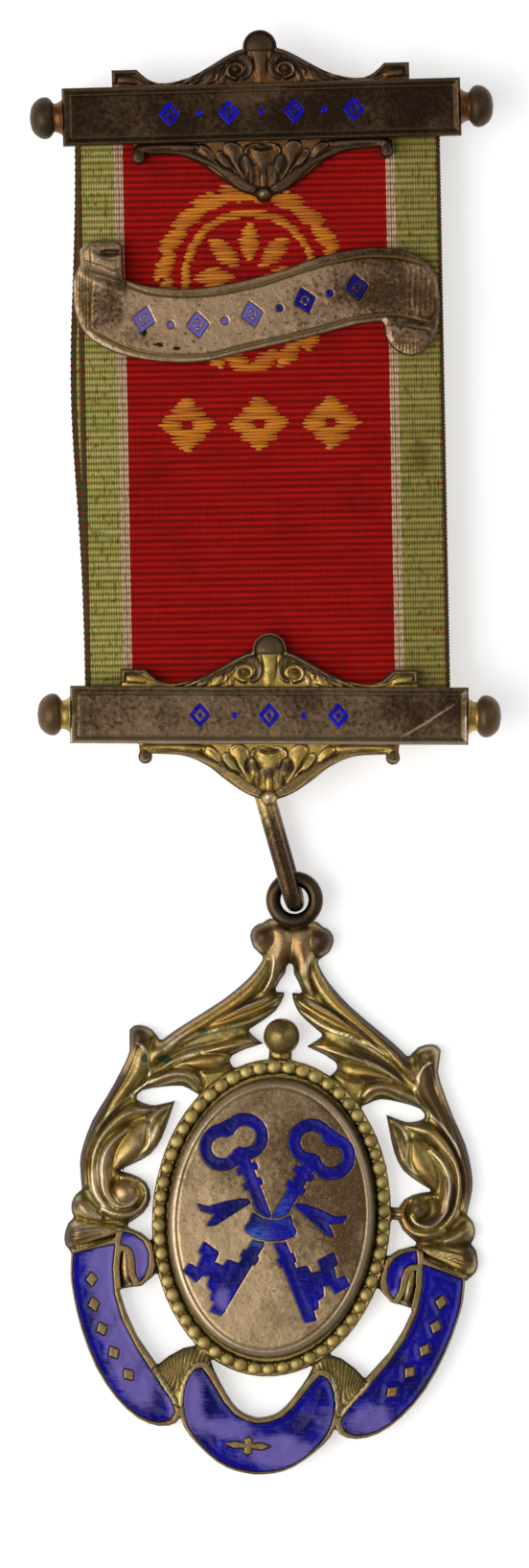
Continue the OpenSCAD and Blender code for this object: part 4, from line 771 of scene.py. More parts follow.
def pendant_casting():
    """The pendant's openwork, oval ring and tray floors as one relief."""
    lines = PENDANT.local(section("pendant_frame", 0.8))
    grid = Grid(PENDANT, lines, PITCH["pendant"])
    body = 1 - np.clip(1 - grid.d / 1.5, 0, 1) ** 2
    field = grid.ridges(both(PANELS, OPENWORK_SHIFT), fullness=1.6, power=0.8)
    field = grid.ridges(both([FOLD]), onto=field)
    for x, y, radius in BOSSES:
        field = np.maximum(field, grid.ball((x, y), radius, 1.5))
    crease = grid.ridges(both([thin(r, 0.15) for r in CREASES], OPENWORK_SHIFT), fullness=1.3, power=1.0)
    furrow = grid.ridges(both([thin(r, 0.2) for r in FURROWS], OPENWORK_SHIFT), fullness=1.2, power=1.2)
    shape = PANEL_RISE * field + CREASE_RISE * crease - FURROW_DEPTH * furrow
    z = PENDANT_BASE - EDGE_LOW + SWELL * body + shape * np.clip(grid.d / 0.45, 0, 1) ** 0.5
    # The ring that the beads stand on, its thin border, and the floor under the plaque.
    across = across_oval(grid)
    round_it = across < 1.0
    border = np.exp(-((across - 0.985) / 0.009) ** 2)
    z = np.where(round_it, RING_TOP + 0.25 * border, z)
    z = np.where(across_oval(grid, (1.4, 1.45)) < 1.0, PENDANT_BASE - 0.1, z)
    # The trays: low under the enamel, and raised beside it.
    cover = PENDANT.local(section("streamer_enamel", 2.2))
    near, _ = grid.distance(cover, 1.2)
    under = grid.fill(cover)
    tray = (near < TRAY_SIDE) & (grid.y < TRAY_HEAD) & ~round_it
    z = np.where(tray & ~under, np.maximum(z, TRAY_FLANK), z)
    z = np.where(under, PENDANT_BASE, z)
    z = z - rounded(grid.d, 0.3)
    values = shading_values(grid, z, np.where(round_it, 0.1, np.clip(field / 1.2, 0, 1)), wide=0.8)
    values["cavity"] = np.where(round_it, 0.0, 0.8 * values["cavity"])
    # The outline is painted with shade, except on the oval ring.
    values["rim"] = np.clip(1 - grid.d / 0.5, 0, 1) * ~round_it
    values["tone"] = stains(grid, BROWNED) + stains(grid, [[14.5, 10, 2.6, 4, 0.16], [18.5, 6, 2, 5, 0.12]])
    values["green"] = stains(grid, GREENED)
    values["gilded"] = stains(grid, [[-16.4, 9.5, 3.5, 4, 0.35], [-16, 3.0, 4, 3, 0.45], [18, 1.2, 1.6, 2.2, 0.35]])
    for key, table in (("tone", STREAKS), ("gilded", GILDED)):
        for half, strength, rows in table:
            grid.ridges([thin(rows, half, strength)], fullness=1.2, power=0.8, onto=values[key])
    # A painted highlight along the inner ridge of the left scroll.
    painted_highlight = grid.ridges([thin([[-17.4, 5.9], [-18.5, 3.8], [-18.6, 1.9], [-17.8, 0.0], [-16.4, -0.6]], 0.4)])
    # The left half is painted lighter in places, partly wear and partly a painted highlight.
    values["cavity"] += 0.6 * stains(grid, RUBBED_AND_HIGHLIGHT)
    # The finely hatched fans at the foot.
    fan = (grid.y < FAN_TOP) & ~tray & ~under & ~round_it
    hatch = 0.5 - 0.5 * np.cos(FAN_LINES * np.arctan2(grid.y - FAN_CENTRE[1], np.abs(grid.x) - FAN_CENTRE[0]))
    z = np.where(fan, PENDANT_BASE + 0.45 * body - 0.1 * hatch, z)
    values["line"] = np.where(round_it, 0.6 * border, np.where(fan, -0.75 * hatch, np.maximum(crease - furrow, painted_highlight)))
    values["cavity"] = np.where(fan, 0.12, values["cavity"])
    values["tone"] = np.where(fan, 0.36, values["tone"])
    return relief("pendant_casting", grid, z, 0.0, values)


def pendant_rims():
    """The thin rims round the enamel, and the pads that stand in it."""
    cover = PENDANT.local(section("streamer_enamel", 2.2))
    lines = PENDANT.local(section("pendant_frame", 2.5))
    grid = Grid(PENDANT, lines, PITCH["rims"], low=(-21.5, -27.2), high=(21.5, -2.3), reach=0.6)
    near, _ = grid.distance(cover, 1.2)
    keep = (near < RIM_REACH) & (across_oval(grid) > 1.0)
    z = TRAY_RIM + 0.02 - rounded(grid.d, 0.16)
    # Their outer edge, away from the enamel, is painted with shade.
    values = {"crest": np.full(grid.shape, 0.5), "rim": np.clip(1 - grid.d / 0.2, 0, 1) * (near > 0.3)}
    return relief("pendant_rims", grid, z, PENDANT_BASE, values, keep)


rng = np.random.default_rng(11)


def beads():
    """The ring of beads, evenly spaced along its ellipse."""
    turn = np.linspace(0, 2 * math.pi, 2881)
    x, y = BEAD_PATH[0] * np.sin(turn), BEAD_PATH[1] * np.cos(turn)
    run = np.concatenate([[0], np.cumsum(np.hypot(np.diff(x), np.diff(y)))])
    points, faces, crest = [], [], []
    sides, rings = 16, 6
    for k in range(BEADS):
        at = np.interp((k + 0.5) * run[-1] / BEADS, run, turn)
        cx, cy = BEAD_PATH[0] * math.sin(at), BEAD_PATH[1] * math.cos(at)
        grow = 1 + BEAD_SPREAD * rng.standard_normal()
        start = len(points)
        for i in range(rings):
            a = math.pi / 2 * i / rings
            for j in range(sides):
                b = 2 * math.pi * j / sides
                r = BEAD_RADIUS * grow * math.cos(a) ** 0.8
                px, py = PENDANT.world(cx + r * math.cos(b), cy + r * math.sin(b))
                points.append((px, py, BEAD_FOOT + BEAD_RISE * math.sin(a)))
                crest.append(i / rings)
        px, py = PENDANT.world(cx, cy)
        points += [(px, py, BEAD_FOOT + BEAD_RISE)] * sides
        crest += [1.0] * sides
        for i in range(rings):
            for j in range(sides):
                low, high, ahead = start + i * sides, start + (i + 1) * sides, (j + 1) % sides
                faces.append([low + j, low + ahead, high + ahead, high + j])
    crest = np.array(crest)
    # The beads' tops are painted lighter, partly wear and partly a painted highlight.
    return make_mesh("pendant_beads", points, faces, {"crest": crest, "cavity": 0.2 * crest})


def upright(place, at, z):
    """For lathe: puts a turned form on the line that stands up from a point of a place."""
    def along(s, r, a):
        x, y = place.world(at[0] + r * math.cos(a), at[1] + r * math.sin(a))
        return (x, y, z + s)

    return along


def ring_form(name, place, at, z, outer, hole, thickness, n=48, m=16):
    """A flat-sided ring that lies on its side."""
    middle, half = (outer + hole) / 4, (outer - hole) / 4
    profile = []
    for k in range(m):
        a = 2 * math.pi * k / m
        c, s = math.cos(a), math.sin(a)
        profile.append((abs(s) ** 0.8 * math.copysign(1, s) * thickness / 2, middle + half * abs(c) ** 0.8
                        * math.copysign(1, c)))
    made = lathe(name, profile, upright(place, at, z), n, close=True)
    made.data.flip_normals()
    return made


def sphere(name, place, at, z, radius, n=40):
    turns = [2 * math.pi * k / n for k in range(n // 2 + 1)]
    return lathe(name, [(-radius * math.cos(a), radius * math.sin(a)) for a in turns], upright(place, at, z), n)


finish_piece(pendant_casting(), "pendant_frame", GILT_CAST)
finish_piece(pendant_rims(), "pendant_frame", GILT_RIM)
finish_piece(beads(), "pendant_frame", BEAD_METAL)
finish_piece(give(ring_form("pendant_bail", PENDANT, BAIL_AT, BAIL_Z, BAIL_OUTER, BAIL_HOLE, BAIL_THICKNESS),
                  cavity=0.1, crest=0.4), "pendant_frame", BAIL_METAL)
finish_piece(give(sphere("pendant_ball", PENDANT, BALL_AT, BALL_RADIUS, BALL_RADIUS),
                  cavity=0.1, crest=0.6, tone=0.38), "pendant_frame", GILT_CAST)


# The plaque's bevel and the height of its edge over its foot, its engraved line and its dome.
BEVEL, EDGE_RISE, LINE_AT, LINE_HALF, DOME = 0.85, 1.1, 1.02, 0.09, 0.12


def plaque():
    """The oval tablet with its polished bevel, engraved line and pockets."""
    pockets = PENDANT.local(section("plaque_enamel", PLAQUE_TOP - 0.15))
    outline = ellipse((PLAQUE[0] - 0.02, PLAQUE[1] - 0.02), 240)
    grid = Grid(PENDANT, np.concatenate([outline, pockets]), PITCH["plaque"])
    edge, _ = grid.distance(outline, 2.5)
    bevel = np.clip(edge / BEVEL, 0, 1)
    z = PLAQUE_Z + EDGE_RISE + (PLAQUE_TOP - PLAQUE_Z - EDGE_RISE) * np.sin(bevel * math.pi / 2) ** 0.8
    line = np.exp(-((edge - LINE_AT) / LINE_HALF) ** 2)
    dome = DOME * np.clip(1 - (grid.x / PLAQUE[0]) ** 2 - (grid.y / PLAQUE[1]) ** 2, 0, 1)
    z = z + dome - 0.1 * line - 0.35 * rounded(grid.d, 0.1)
    tone = stains(grid, [[5, 8, 8, 8, 0.4], [-6, -9, 7, 8, -0.45], [8.5, -1, 3, 9, 0.35], [0, 2, 30, 30, 0.42]])
    pits = stains(grid, [[0.6, -7.6, 1.0, 1.2, 0.35], [-1.2, -9.6, 1.6, 1.2, 0.22], [3.5, -12, 2, 1, 0.15]])
    # edge paints the bevel pale, partly wear and partly a painted highlight; rim paints shade along the outline, beside
    # the beads.
    values = {"line": line, "edge": np.exp(-((edge - 0.6) / 0.3) ** 2), "tone": tone, "pits": pits,
              "rim": np.clip(1 - edge / 0.2, 0, 1)}
    return relief("plaque_tablet", grid, z, PLAQUE_Z, values)


def enamel_relief(name, node, place, top, bottom, pitch, dish=0.06, swell=0.0, wear_and_highlight=(), pale=()):
    """Enamel that fills its pockets, a little dished between their edges."""
    lines = place.local(section(node, (top + bottom) / 2))
    grid = Grid(place, lines, pitch, reach=2.4)
    z = top - dish * np.clip(grid.d / 0.5, 0, 1) + swell * np.clip(grid.d / 2.4, 0, 1) ** 2
    z = z - 0.2 * rounded(grid.d, 0.08)
    return relief(name, grid, z, bottom, {"tone": stains(grid, wear_and_highlight), "pale": stains(grid, pale)})


# The enamel's hazy places, partly wear and partly a painted reflection of the lamps, and its pale places: x, y, half
# width, half height, strength.
EMBLEM_HAZE_AND_HIGHLIGHT = [[-4.6, -8.8, 1.0, 1.8, 0.7], [-2, -5, 0.8, 1, 0.35], [4.5, -10.5, 1.0, 1.5, 0.3]]
EMBLEM_PALE = [[-1.5, -1.9, 1.2, 0.9, 1.0], [0.9, 1.0, 1.0, 1.6, 0.45], [-5.9, -10.6, 0.7, 0.8, 0.7],
               [3.8, -1.6, 1.5, 0.5, 0.4]]
TRAY_HAZE_AND_HIGHLIGHT = [[-16.6, -6, 2.4, 3, 1.1], [-16.9, -10, 1.5, 5, 0.7], [-14.4, -15, 1.7, 4, 1.0],
               [-12.0, -18.8, 1.5, 2.6, 0.8], [12.0, -20.5, 2.6, 2.4, 0.8], [-13.6, -5.0, 1.4, 2.2, 0.9],
               [14.3, -5.0, 0.7, 0.7, 0.8], [13.4, -7.2, 0.5, 1.0, 0.8], [-7.8, -19.4, 1.9, 3.4, 1.2],
               [-3.4, -22.2, 2.6, 1.3, 0.9], [2.4, -24.4, 3.8, 1.8, 1.1], [7.0, -20.6, 2.0, 1.8, 0.5]]

finish_piece(plaque(), "plaque", PLAQUE_METAL)
finish_piece(enamel_relief("emblem_enamel", "plaque_enamel", PENDANT, PLAQUE_TOP + 0.03, PLAQUE_TOP - 0.3,
                           PITCH["emblem"], dish=0.015, wear_and_highlight=EMBLEM_HAZE_AND_HIGHLIGHT, pale=EMBLEM_PALE),
             "plaque_enamel", BLUE)
finish_piece(enamel_relief("tray_enamel", "streamer_enamel", PENDANT, TRAY_ENAMEL_TOP, PENDANT_BASE + 0.05,
                           PITCH["trays"], dish=0.08, swell=0.12, wear_and_highlight=TRAY_HAZE_AND_HIGHLIGHT),
             "streamer_enamel", BLUE)


# Bars

# The bars' ornaments, right half. Bands and panels: x, y, half width, height. Creases and furrows: x, y.
CREST_BANDS = [
    [[1.9, 6.0, 0.4, 1], [1.35, 5.4, 0.4, 1], [1.2, 4.7, 0.36, 1], [1.4, 4.0, 0.3, 1], [1.9, 3.6, 0.2, 1]],
]
CREST = [
    [[2.6, 3.6, 0.22, 0.5], [3.2, 3.85, 0.24, 0.5], [3.4, 4.4, 0.24, 0.5], [3.1, 4.95, 0.24, 0.5],
     [2.55, 5.15, 0.23, 0.5], [2.0, 4.9, 0.22, 0.45], [1.8, 4.4, 0.2, 0.4], [2.1, 3.95, 0.18, 0.35]],
    [[3.85, 4.2, 0.15, 0.2], [4.05, 3.75, 0.26, 0.4], [4.05, 3.2, 0.26, 0.35]],
    [[4.45, 4.6, 0.1, 0.25], [4.95, 4.1, 0.26, 0.42], [5.35, 3.7, 0.4, 0.42], [5.7, 3.25, 0.4, 0.35]],
    [[5.55, 4.45, 0.1, 0.25], [6.05, 4.0, 0.25, 0.42], [6.65, 3.6, 0.35, 0.42], [7.2, 3.25, 0.35, 0.35]],
    [[6.4, 4.1, 0.1, 0.25], [7.15, 3.75, 0.25, 0.4], [7.75, 3.45, 0.3, 0.4], [8.4, 3.2, 0.25, 0.3]],
    [[7.6, 3.8, 0.1, 0.2], [8.4, 3.5, 0.18, 0.35], [9.2, 3.3, 0.2, 0.3], [9.9, 3.15, 0.12, 0.2]],
    [[13.1, 3.5, 0.2, 0.2], [13.9, 3.8, 0.4, 0.3], [14.7, 3.8, 0.4, 0.3]],
    [[0, 3.1, 0.35, 0.2], [0, 4.4, 0.5, 0.3], [0, 5.6, 0.8, 0.35], [0, 6.4, 1.2, 0.35]],
]
CREST_CREASES = [
    [[4.3, 4.5], [4.45, 4.0], [4.75, 3.5], [5.4, 3.15]], [[5.4, 4.4], [5.8, 3.9], [6.35, 3.5], [7.1, 3.15]],
    [[6.4, 4.1], [6.95, 3.75], [7.55, 3.4], [8.3, 3.15]], [[7.8, 3.7], [9.0, 3.3], [10.0, 3.1]],
    [[3.5, 4.3], [3.75, 3.8], [3.75, 3.2]], [[1.0, 5.3], [0.95, 4.6], [1.15, 3.9], [1.6, 3.5]],
    [[2.9, 5.15], [3.4, 4.7], [3.5, 4.2], [3.2, 3.7]], [[10.6, 3.15], [11.8, 3.2], [12.6, 3.5], [13.6, 4.2]],
]
CREST_FURROWS = [
    [[2.0, 5.45], [2.9, 5.5], [3.7, 5.0], [3.95, 4.5]], [[4.15, 4.65], [4.65, 4.4], [4.8, 4.1], [4.6, 3.5]],
    [[5.1, 4.6], [5.65, 4.25], [6.15, 3.6], [6.6, 3.25]], [[6.1, 4.3], [6.65, 3.95], [7.5, 3.25]],
    [[7.1, 4.0], [7.9, 3.6], [8.6, 3.2]], [[1.55, 5.4], [1.4, 4.6], [1.65, 4.0], [2.3, 3.75]],
    [[4.25, 4.4], [4.3, 3.9], [4.5, 3.3]], [[0.85, 6.3], [0.7, 5.0], [0.75, 3.6]],
    [[13.0, 4.0], [13.7, 4.3], [14.9, 4.25], [15.1, 3.2]],
    [[2.15, 4.45], [2.4, 4.8], [2.85, 4.75], [3.0, 4.3], [2.65, 4.0]],
]
DROP_BANDS = [
    [[1.1, -8.0, 0.35, 1], [2.0, -7.6, 0.5, 1], [3.0, -6.85, 0.5, 1], [4.0, -6.1, 0.4, 1], [5.0, -5.35, 0.35, 1],
     [6.0, -4.8, 0.32, 1], [7.2, -4.35, 0.32, 1], [8.6, -4.0, 0.26, 1], [10.2, -3.85, 0.2, 1], [11.8, -3.85, 0.18, 1]],
]
DROP = [
    [[6.9, -3.5, 0.3, 0.4], [8.6, -3.4, 0.36, 0.5], [10.2, -3.4, 0.38, 0.5], [11.8, -3.45, 0.42, 0.55],
     [12.8, -3.65, 0.5, 0.6], [13.2, -4.2, 0.4, 0.6]],
    [[3.3, -3.5, 0.6, 0.3], [3.0, -4.4, 0.6, 0.4], [2.9, -5.3, 0.42, 0.5], [2.5, -6.1, 0.36, 0.45],
     [2.0, -6.9, 0.25, 0.3]],
    [[4.5, -4.2, 0.25, 0.35], [4.2, -4.75, 0.4, 0.5], [3.7, -5.35, 0.4, 0.5], [3.0, -6.1, 0.25, 0.35]],
    [[6.3, -3.6, 0.4, 0.3], [5.9, -4.1, 0.45, 0.45], [5.4, -4.7, 0.25, 0.3]],
    [[1.6, -3.7, 0.25, 0.3], [1.8, -4.3, 0.28, 0.45], [1.6, -5.0, 0.5, 0.5], [1.5, -5.8, 0.4, 0.45],
     [1.3, -6.5, 0.35, 0.45], [1.2, -7.2, 0.2, 0.3]],
    [[0, -4.6, 1.0, 0.35], [0, -5.2, 0.7, 0.35]], [[0, -5.6, 0.2, 0.3], [0, -6.6, 0.38, 0.5], [0, -7.5, 0.35, 0.45]],
]
DROP_CREASES = [
    [[2.2, -4.9], [2.15, -4.1], [2.5, -3.45], [3.2, -3.15], [3.85, -3.35], [3.95, -3.9]],
    [[3.9, -4.3], [4.5, -3.98], [4.75, -4.3], [4.4, -5.0], [3.6, -5.8]],
    [[5.05, -5.0], [5.2, -4.2], [5.8, -3.55], [6.4, -3.3]], [[0.4, -3.3], [1.2, -3.4], [1.75, -3.9], [1.75, -4.5]],
    [[0.4, -5.9], [0.6, -6.8], [1.1, -7.6], [1.6, -8.0]], [[0.0, -4.15], [0.6, -4.1], [1.1, -3.8]],
    [[7.2, -3.75], [9.0, -3.65], [11.5, -3.65]], [[2.9, -5.2], [2.6, -5.9], [2.1, -6.7]],
    [[12.4, -4.5], [13.0, -4.75], [13.6, -4.5]],
]
DROP_FURROWS = [
    [[2.0, -3.4], [2.0, -4.2], [2.35, -4.9], [2.35, -5.5], [1.9, -6.3]],
    [[4.15, -3.2], [4.1, -4.0], [3.6, -4.6], [3.2, -5.4], [2.2, -6.9]],
    [[5.0, -3.9], [4.9, -4.6], [4.2, -5.6], [3.3, -5.95], [2.9, -6.4]],
    [[6.9, -3.2], [6.95, -3.9], [6.2, -4.5], [5.3, -5.0]],
    [[1.9, -3.4], [2.0, -4.2], [1.4, -4.6], [1.1, -5.4], [0.5, -5.5]],
    [[0.5, -5.6], [0.4, -6.4], [0.8, -7.2], [1.2, -7.7]], [[0.0, -3.75], [0.5, -3.7], [1.0, -3.5]],
    [[4.8, -5.3], [6.0, -4.55], [7.2, -4.1]], [[8.0, -3.75], [10, -3.68], [12.0, -3.7]],
    [[1.4, -6.0], [1.6, -6.8], [1.5, -7.3]],
]
# Places worn through to brown: x, y, half width, half height, strength.
DROP_STAINS = [
    [1.3, -5.3, 0.7, 0.6, 1.0], [2.3, -5.3, 0.35, 0.8, 1.0], [1.2, -6.8, 0.5, 0.8, 0.6], [0.5, -3.6, 0.7, 0.2, 0.9],
    [7.1, -4.1, 0.4, 0.2, 0.9], [3.3, -6.1, 0.4, 0.3, 0.8], [2.0, -7.2, 0.7, 0.4, 0.4], [13.1, -4.9, 0.9, 0.35, 1.0],
    [0, -6.0, 0.5, 0.5, 0.7],
]
CREST_GREEN = [
    [0, 4.6, 0.8, 1.6, 0.45], [14.3, 3.5, 0.8, 0.5, 0.6], [15.6, 3.4, 0.3, 0.5, 0.6], [6.0, 3.2, 2.0, 0.3, 0.4],
]
# The finials' outline: place along, radius.
FINIAL = [
    [0, 1.9], [0.4, 1.6], [0.85, 1.5], [1.1, 1.8], [1.4, 2.1], [1.85, 2.2], [2.4, 2.05], [2.95, 1.6], [3.25, 1.05],
    [3.37, 0.4],
]

# The brown rim of the crest: x, width.
CREST_RIM = [(1.5, 0.4), (2.2, 0.7), (4.5, 0.95), (6, 0.75), (8, 0.5), (10, 0.35), (13, 0.42), (15.6, 0.45)]
# The knob over the crest: its middle, its foot and its radius.
KNOB_AT, KNOB_FOOT, KNOB_RADIUS = 6.8, 6.5, 1.95
# The height of the finials' axis over the back of a bar, and how far their feet are let into its ends.
FINIAL_AXIS, FINIAL_LET_IN = 1.13, 0.03


def bar_ornament(name, place, lines, upper):
    """The crest above a bar's plate, or the ornament below it."""
    side = 1 if upper else -1
    start = side * BAR_HEIGHT / 2
    low, high = ((-18, start - 0.1), (18, 9)) if upper else ((-18, -10), (18, start + 0.1))
    grid = Grid(place, lines, PITCH["bar ornament"], low=low, high=high)
    bands, panels, creases, furrows = ((CREST_BANDS, CREST, CREST_CREASES, CREST_FURROWS) if upper else
                                       (DROP_BANDS, DROP, DROP_CREASES, DROP_FURROWS))
    band = np.clip(2.5 * grid.ridges(both(bands), fullness=1.1, power=1.0), 0, 1)
    beyond = side * grid.y > side * start + 0.45
    if upper:
        wide = np.interp(np.abs(grid.x), *zip(*CREST_RIM))
        band = np.maximum(band, beyond * np.clip((wide - grid.d) / 0.15 + 0.5, 0, 1))
    field = np.maximum(0.75 * grid.ridges(both(panels), fullness=1.3, power=0.7), 0.4 * band)
    crease = grid.ridges(both([thin(r, 0.1) for r in creases]), fullness=1.2, power=1.0)
    furrow = grid.ridges(both([thin(r, 0.13) for r in furrows]), fullness=1.1, power=1.2)
    crease = np.maximum(crease, 0.6 * beyond * np.exp(-((grid.d - 0.28) / 0.09) ** 2))
    furrow = np.maximum(furrow, 0.7 * beyond * upper * np.exp(-((grid.d - 0.5) / 0.08) ** 2))
    field = field + 0.13 * crease - 0.25 * furrow
    tone = band * (1.0 if upper else 0.5)
    if upper:
        # The knob over the middle: a half disc in a cup.
        from_knob = np.hypot(grid.x, grid.y - KNOB_AT)
        knob = (from_knob < KNOB_RADIUS) & (grid.y > KNOB_FOOT)
        field = np.where(knob, 0.2 + 0.5 * np.clip(1 - (from_knob / 1.55) ** 2, 0, 1) ** 0.5, field)
        field = np.where(knob & (from_knob > 1.6), 0.55, field)
        crease = np.where(knob, np.exp(-((from_knob - 1.72) / 0.1) ** 2), crease)
        furrow = np.where(knob, np.exp(-((from_knob - 1.45) / 0.12) ** 2), furrow)
        tone = np.maximum(tone, knob)
        balls = [(2.6, 4.6, 0.45, 0.5)]
    else:
        tone = np.maximum(tone, stains(grid, both(DROP_STAINS)))
        balls = [(0, -8.5, 0.8, 0.85), (13.05, -4.35, 0.95, 0.75)]
    for x, y, radius, high in balls:
        for s in (-1, 1):
            field = np.maximum(field, grid.ball((s * x, y), radius, high))
            spot = grid.ball((s * x, y), 0.9 * radius, 1.0)
            # The balls are brown, but the drop's middle ball takes the pale colour, partly wear and partly a painted
            # highlight.
            if upper or x:
                tone = np.maximum(tone, spot)
            else:
                crease = np.maximum(crease, 0.9 * spot)
    swell = 0.2 * (1 - np.clip(1 - grid.d / 1.4, 0, 1) ** 2)
    z = FACE_Z + CAST_BASE - 0.15 + swell + field - rounded(grid.d, 0.28)
    values = shading_values(grid, z, np.clip(field / 0.6, 0, 1), wide=0.6, strength=1.9)
    values["line"] = crease - furrow
    values["tone"] = tone
    values["green"] = stains(grid, CREST_GREEN) if upper else np.zeros(grid.shape)
    return relief(name, grid, z, FACE_Z + 0.04, values, side * grid.y > side * start - 0.1)


# A bar plate's raised lip, and the place and half width of its engraved line.
LIP_WIDTH, PLATE_LINE_AT, PLATE_LINE_HALF = 0.42, 0.78, 0.075


def bar_plate(name, place, enamel_node, tarnish, lip_highlights, scratch):
    """The box plate with its raised lip and engraved line, open where its enamel lies."""
    x, y = BAR_LENGTH / 2, BAR_HEIGHT / 2
    outline = ring([(x, y), (-x, y), (-x, -y), (x, -y)])
    pockets = place.local(section(enamel_node, PLATE_TOP - 0.35))
    grid = Grid(place, np.concatenate([outline, pockets]), PITCH["bar plate"])
    edge = np.minimum(x - np.abs(grid.x), y - np.abs(grid.y))
    lip = 1 / (1 + np.exp((edge - LIP_WIDTH) / 0.045))
    line = np.exp(-((edge - PLATE_LINE_AT) / PLATE_LINE_HALF) ** 2)
    # A painted highlight along the lip, stronger on one side; the scratch is a pale line of wear.
    bright = np.where(grid.y < 0, lip_highlights[1], lip_highlights[0]) / (1 + np.exp((edge - LIP_WIDTH) / 0.05))
    if scratch:
        bright = bright + 0.9 * grid.ridges([thin(scratch, 0.14)], fullness=1.0, power=1.0)
    z = PLATE_TOP - 0.2 + 0.2 * lip - 0.1 * line - rounded(np.clip(edge, 0, None), 0.22)
    values = {"line": np.clip(line, 0, 1), "edge": bright, "tone": stains(grid, tarnish),
              "rim": np.zeros(grid.shape)}
    return relief(name, grid, z, FACE_Z, values)


def finials(name, place):
    """The turned finials at both ends of a bar."""
    parts = []
    rows = curve(FINIAL, 5)
    profile = [(0.0, 1.9), *[(s + FINIAL_LET_IN, min(r, 2.2)) for s, r in rows], (3.45, 0.0)]
    for side in (-1, 1):
        def along(s, r, a):
            x, y = place.world(side * (BAR_LENGTH / 2 + s - FINIAL_LET_IN), r * math.cos(a) * side)
            return (x, y, FACE_Z + FINIAL_AXIS + r * math.sin(a))
        parts.append(lathe(name, profile, along, 36))
    made = joined(name, parts)
    at = np.array([v.co for v in made.data.vertices]) * 1000
    along = np.abs(place.local(at)[:, 0]) - BAR_LENGTH / 2
    return give(made, tone=0.85 * (along > 1.0), crest=0.7 * (along > 1.0), cavity=-0.15 * (along < 1.0))


def cage(name, node):
    """What holds the ribbon behind a bar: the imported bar, cut just over the back of its plate."""
    made = bpy.data.objects.new(name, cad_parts[node].data.copy())
    bpy.context.scene.collection.objects.link(made)
    made.data.materials.clear()
    b = bmesh.new()
    b.from_mesh(made.data)
    whole = b.verts[:] + b.edges[:] + b.faces[:]
    bmesh.ops.bisect_plane(b, geom=whole, plane_co=(0, 0, (FACE_Z + 0.1) * 0.001), plane_no=(0, 0, 1), clear_outer=True)
    b.to_mesh(made.data)
    b.free()
    return give(made, cavity=0.0, crest=1.0)


def bar(name, node, place, enamel_node, cast, face, tarnish, lip_highlights, scratch=None):
    """All pieces of a bar, with the strength of the painted highlight on its plate's upper lip and lower lip."""
    lines = place.local(section(node, FACE_Z + 0.3))
    finish_piece(bar_ornament(name + "_crest", place, lines, True), node, cast)
    finish_piece(bar_ornament(name + "_drop", place, lines, False), node, cast)
    finish_piece(bar_plate(name + "_plate", place, enamel_node, tarnish, lip_highlights, scratch), node, face)
    finish_piece(finials(name + "_finials", place), node, cast)
    finish_piece(cage(name + "_cage", node), node, cast)
    lozenges = enamel_relief(name + "_lozenges", enamel_node, place, PLATE_TOP - 0.2, PLATE_TOP - 0.5,
                             PITCH["lozenges"], dish=0.04)
    finish_piece(lozenges, enamel_node, LOZENGE_BLUE)


bar("top", "top_bar", TOP_BAR, "top_bar_enamel", TOP_CAST, TOP_FACE,
    [[0, 0, 30, 9, 0.35], [-19, 0, 2.5, 4, 0.4], [4, -1, 6, 2.5, 0.3], [17, 1, 4, 3, 0.4], [-9, -1.5, 4, 2, 0.2],
     [-0.5, 1.9, 3.2, 0.9, -0.7], [-15, 0.5, 3, 3, -0.15]], (0.45, 0.3))
bar("bottom", "bottom_bar", BOTTOM_BAR, "bottom_bar_enamel", BOTTOM_CAST, BOTTOM_FACE,
    [[0, 0, 30, 9, 0.15], [-18.5, 0, 3, 4, 0.3], [5, 1, 6, 2, 0.15], [14.5, 0.5, 4, 2.5, 0.5], [19.5, 1.5, 2, 2.5, 0.4],
     [-6, -2.5, 8, 1, -0.2]], (0.1, 0.9),
    [[13.6, -2.3], [15.5, -1.2], [17.4, 0.0], [19.2, 1.2]])


# Scroll clasp

# Engraved lines of the scroll: the line, its half width and its strength.
BANNER_ENGRAVING = [
    ([[-19.0, 50.5], [-18.0, 50.05], [-17.0, 49.75], [-16.0, 49.4], [-14.5, 48.85], [-13.0, 48.25], [-11.5, 47.9],
      [-9.0, 47.7], [-6.0, 47.8], [-3.0, 48.3], [0.0, 49.0], [3.0, 50.0], [6.0, 50.95], [8.0, 51.4], [10.0, 51.75],
      [12.0, 51.8], [14.0, 51.65], [15.5, 51.25], [16.6, 50.9]], 0.2, 0.9),
    ([[-19.0, 51.4], [-18.0, 50.95], [-16.0, 50.4], [-15.0, 50.1]], 0.16, 0.8),
    ([[-18.1, 44.15], [-17.0, 43.6], [-15.0, 42.6], [-13.0, 41.9], [-10.0, 41.45], [-6.0, 41.55], [-2.4, 42.4],
      [2.85, 43.6], [6.0, 44.4], [8.6, 45.15], [10.5, 45.5], [12.5, 45.75], [14.0, 45.65], [15.5, 45.3],
      [17.0, 44.9]], 0.2, 0.9),
    ([[-17.9, 43.75], [-15.6, 42.5], [-13.0, 41.6], [-10.0, 41.15], [-6.0, 41.25]], 0.1, 0.6),
    ([[14.2, 44.6], [15.6, 44.4], [17.1, 44.15]], 0.12, 0.8), ([[13.9, 43.6], [15.0, 43.5], [15.8, 43.4]], 0.1, 0.6),
    ([[13.2, 42.75], [14.4, 42.85], [15.4, 42.85]], 0.12, 0.8),
    ([[-17.1, 51.6], [-16.2, 51.4], [-15.1, 51.45]], 0.12, 0.7),
    ([[-18.1, 44.3], [-18.1, 47.0], [-18.0, 49.9]], 0.12, 0.7),
]


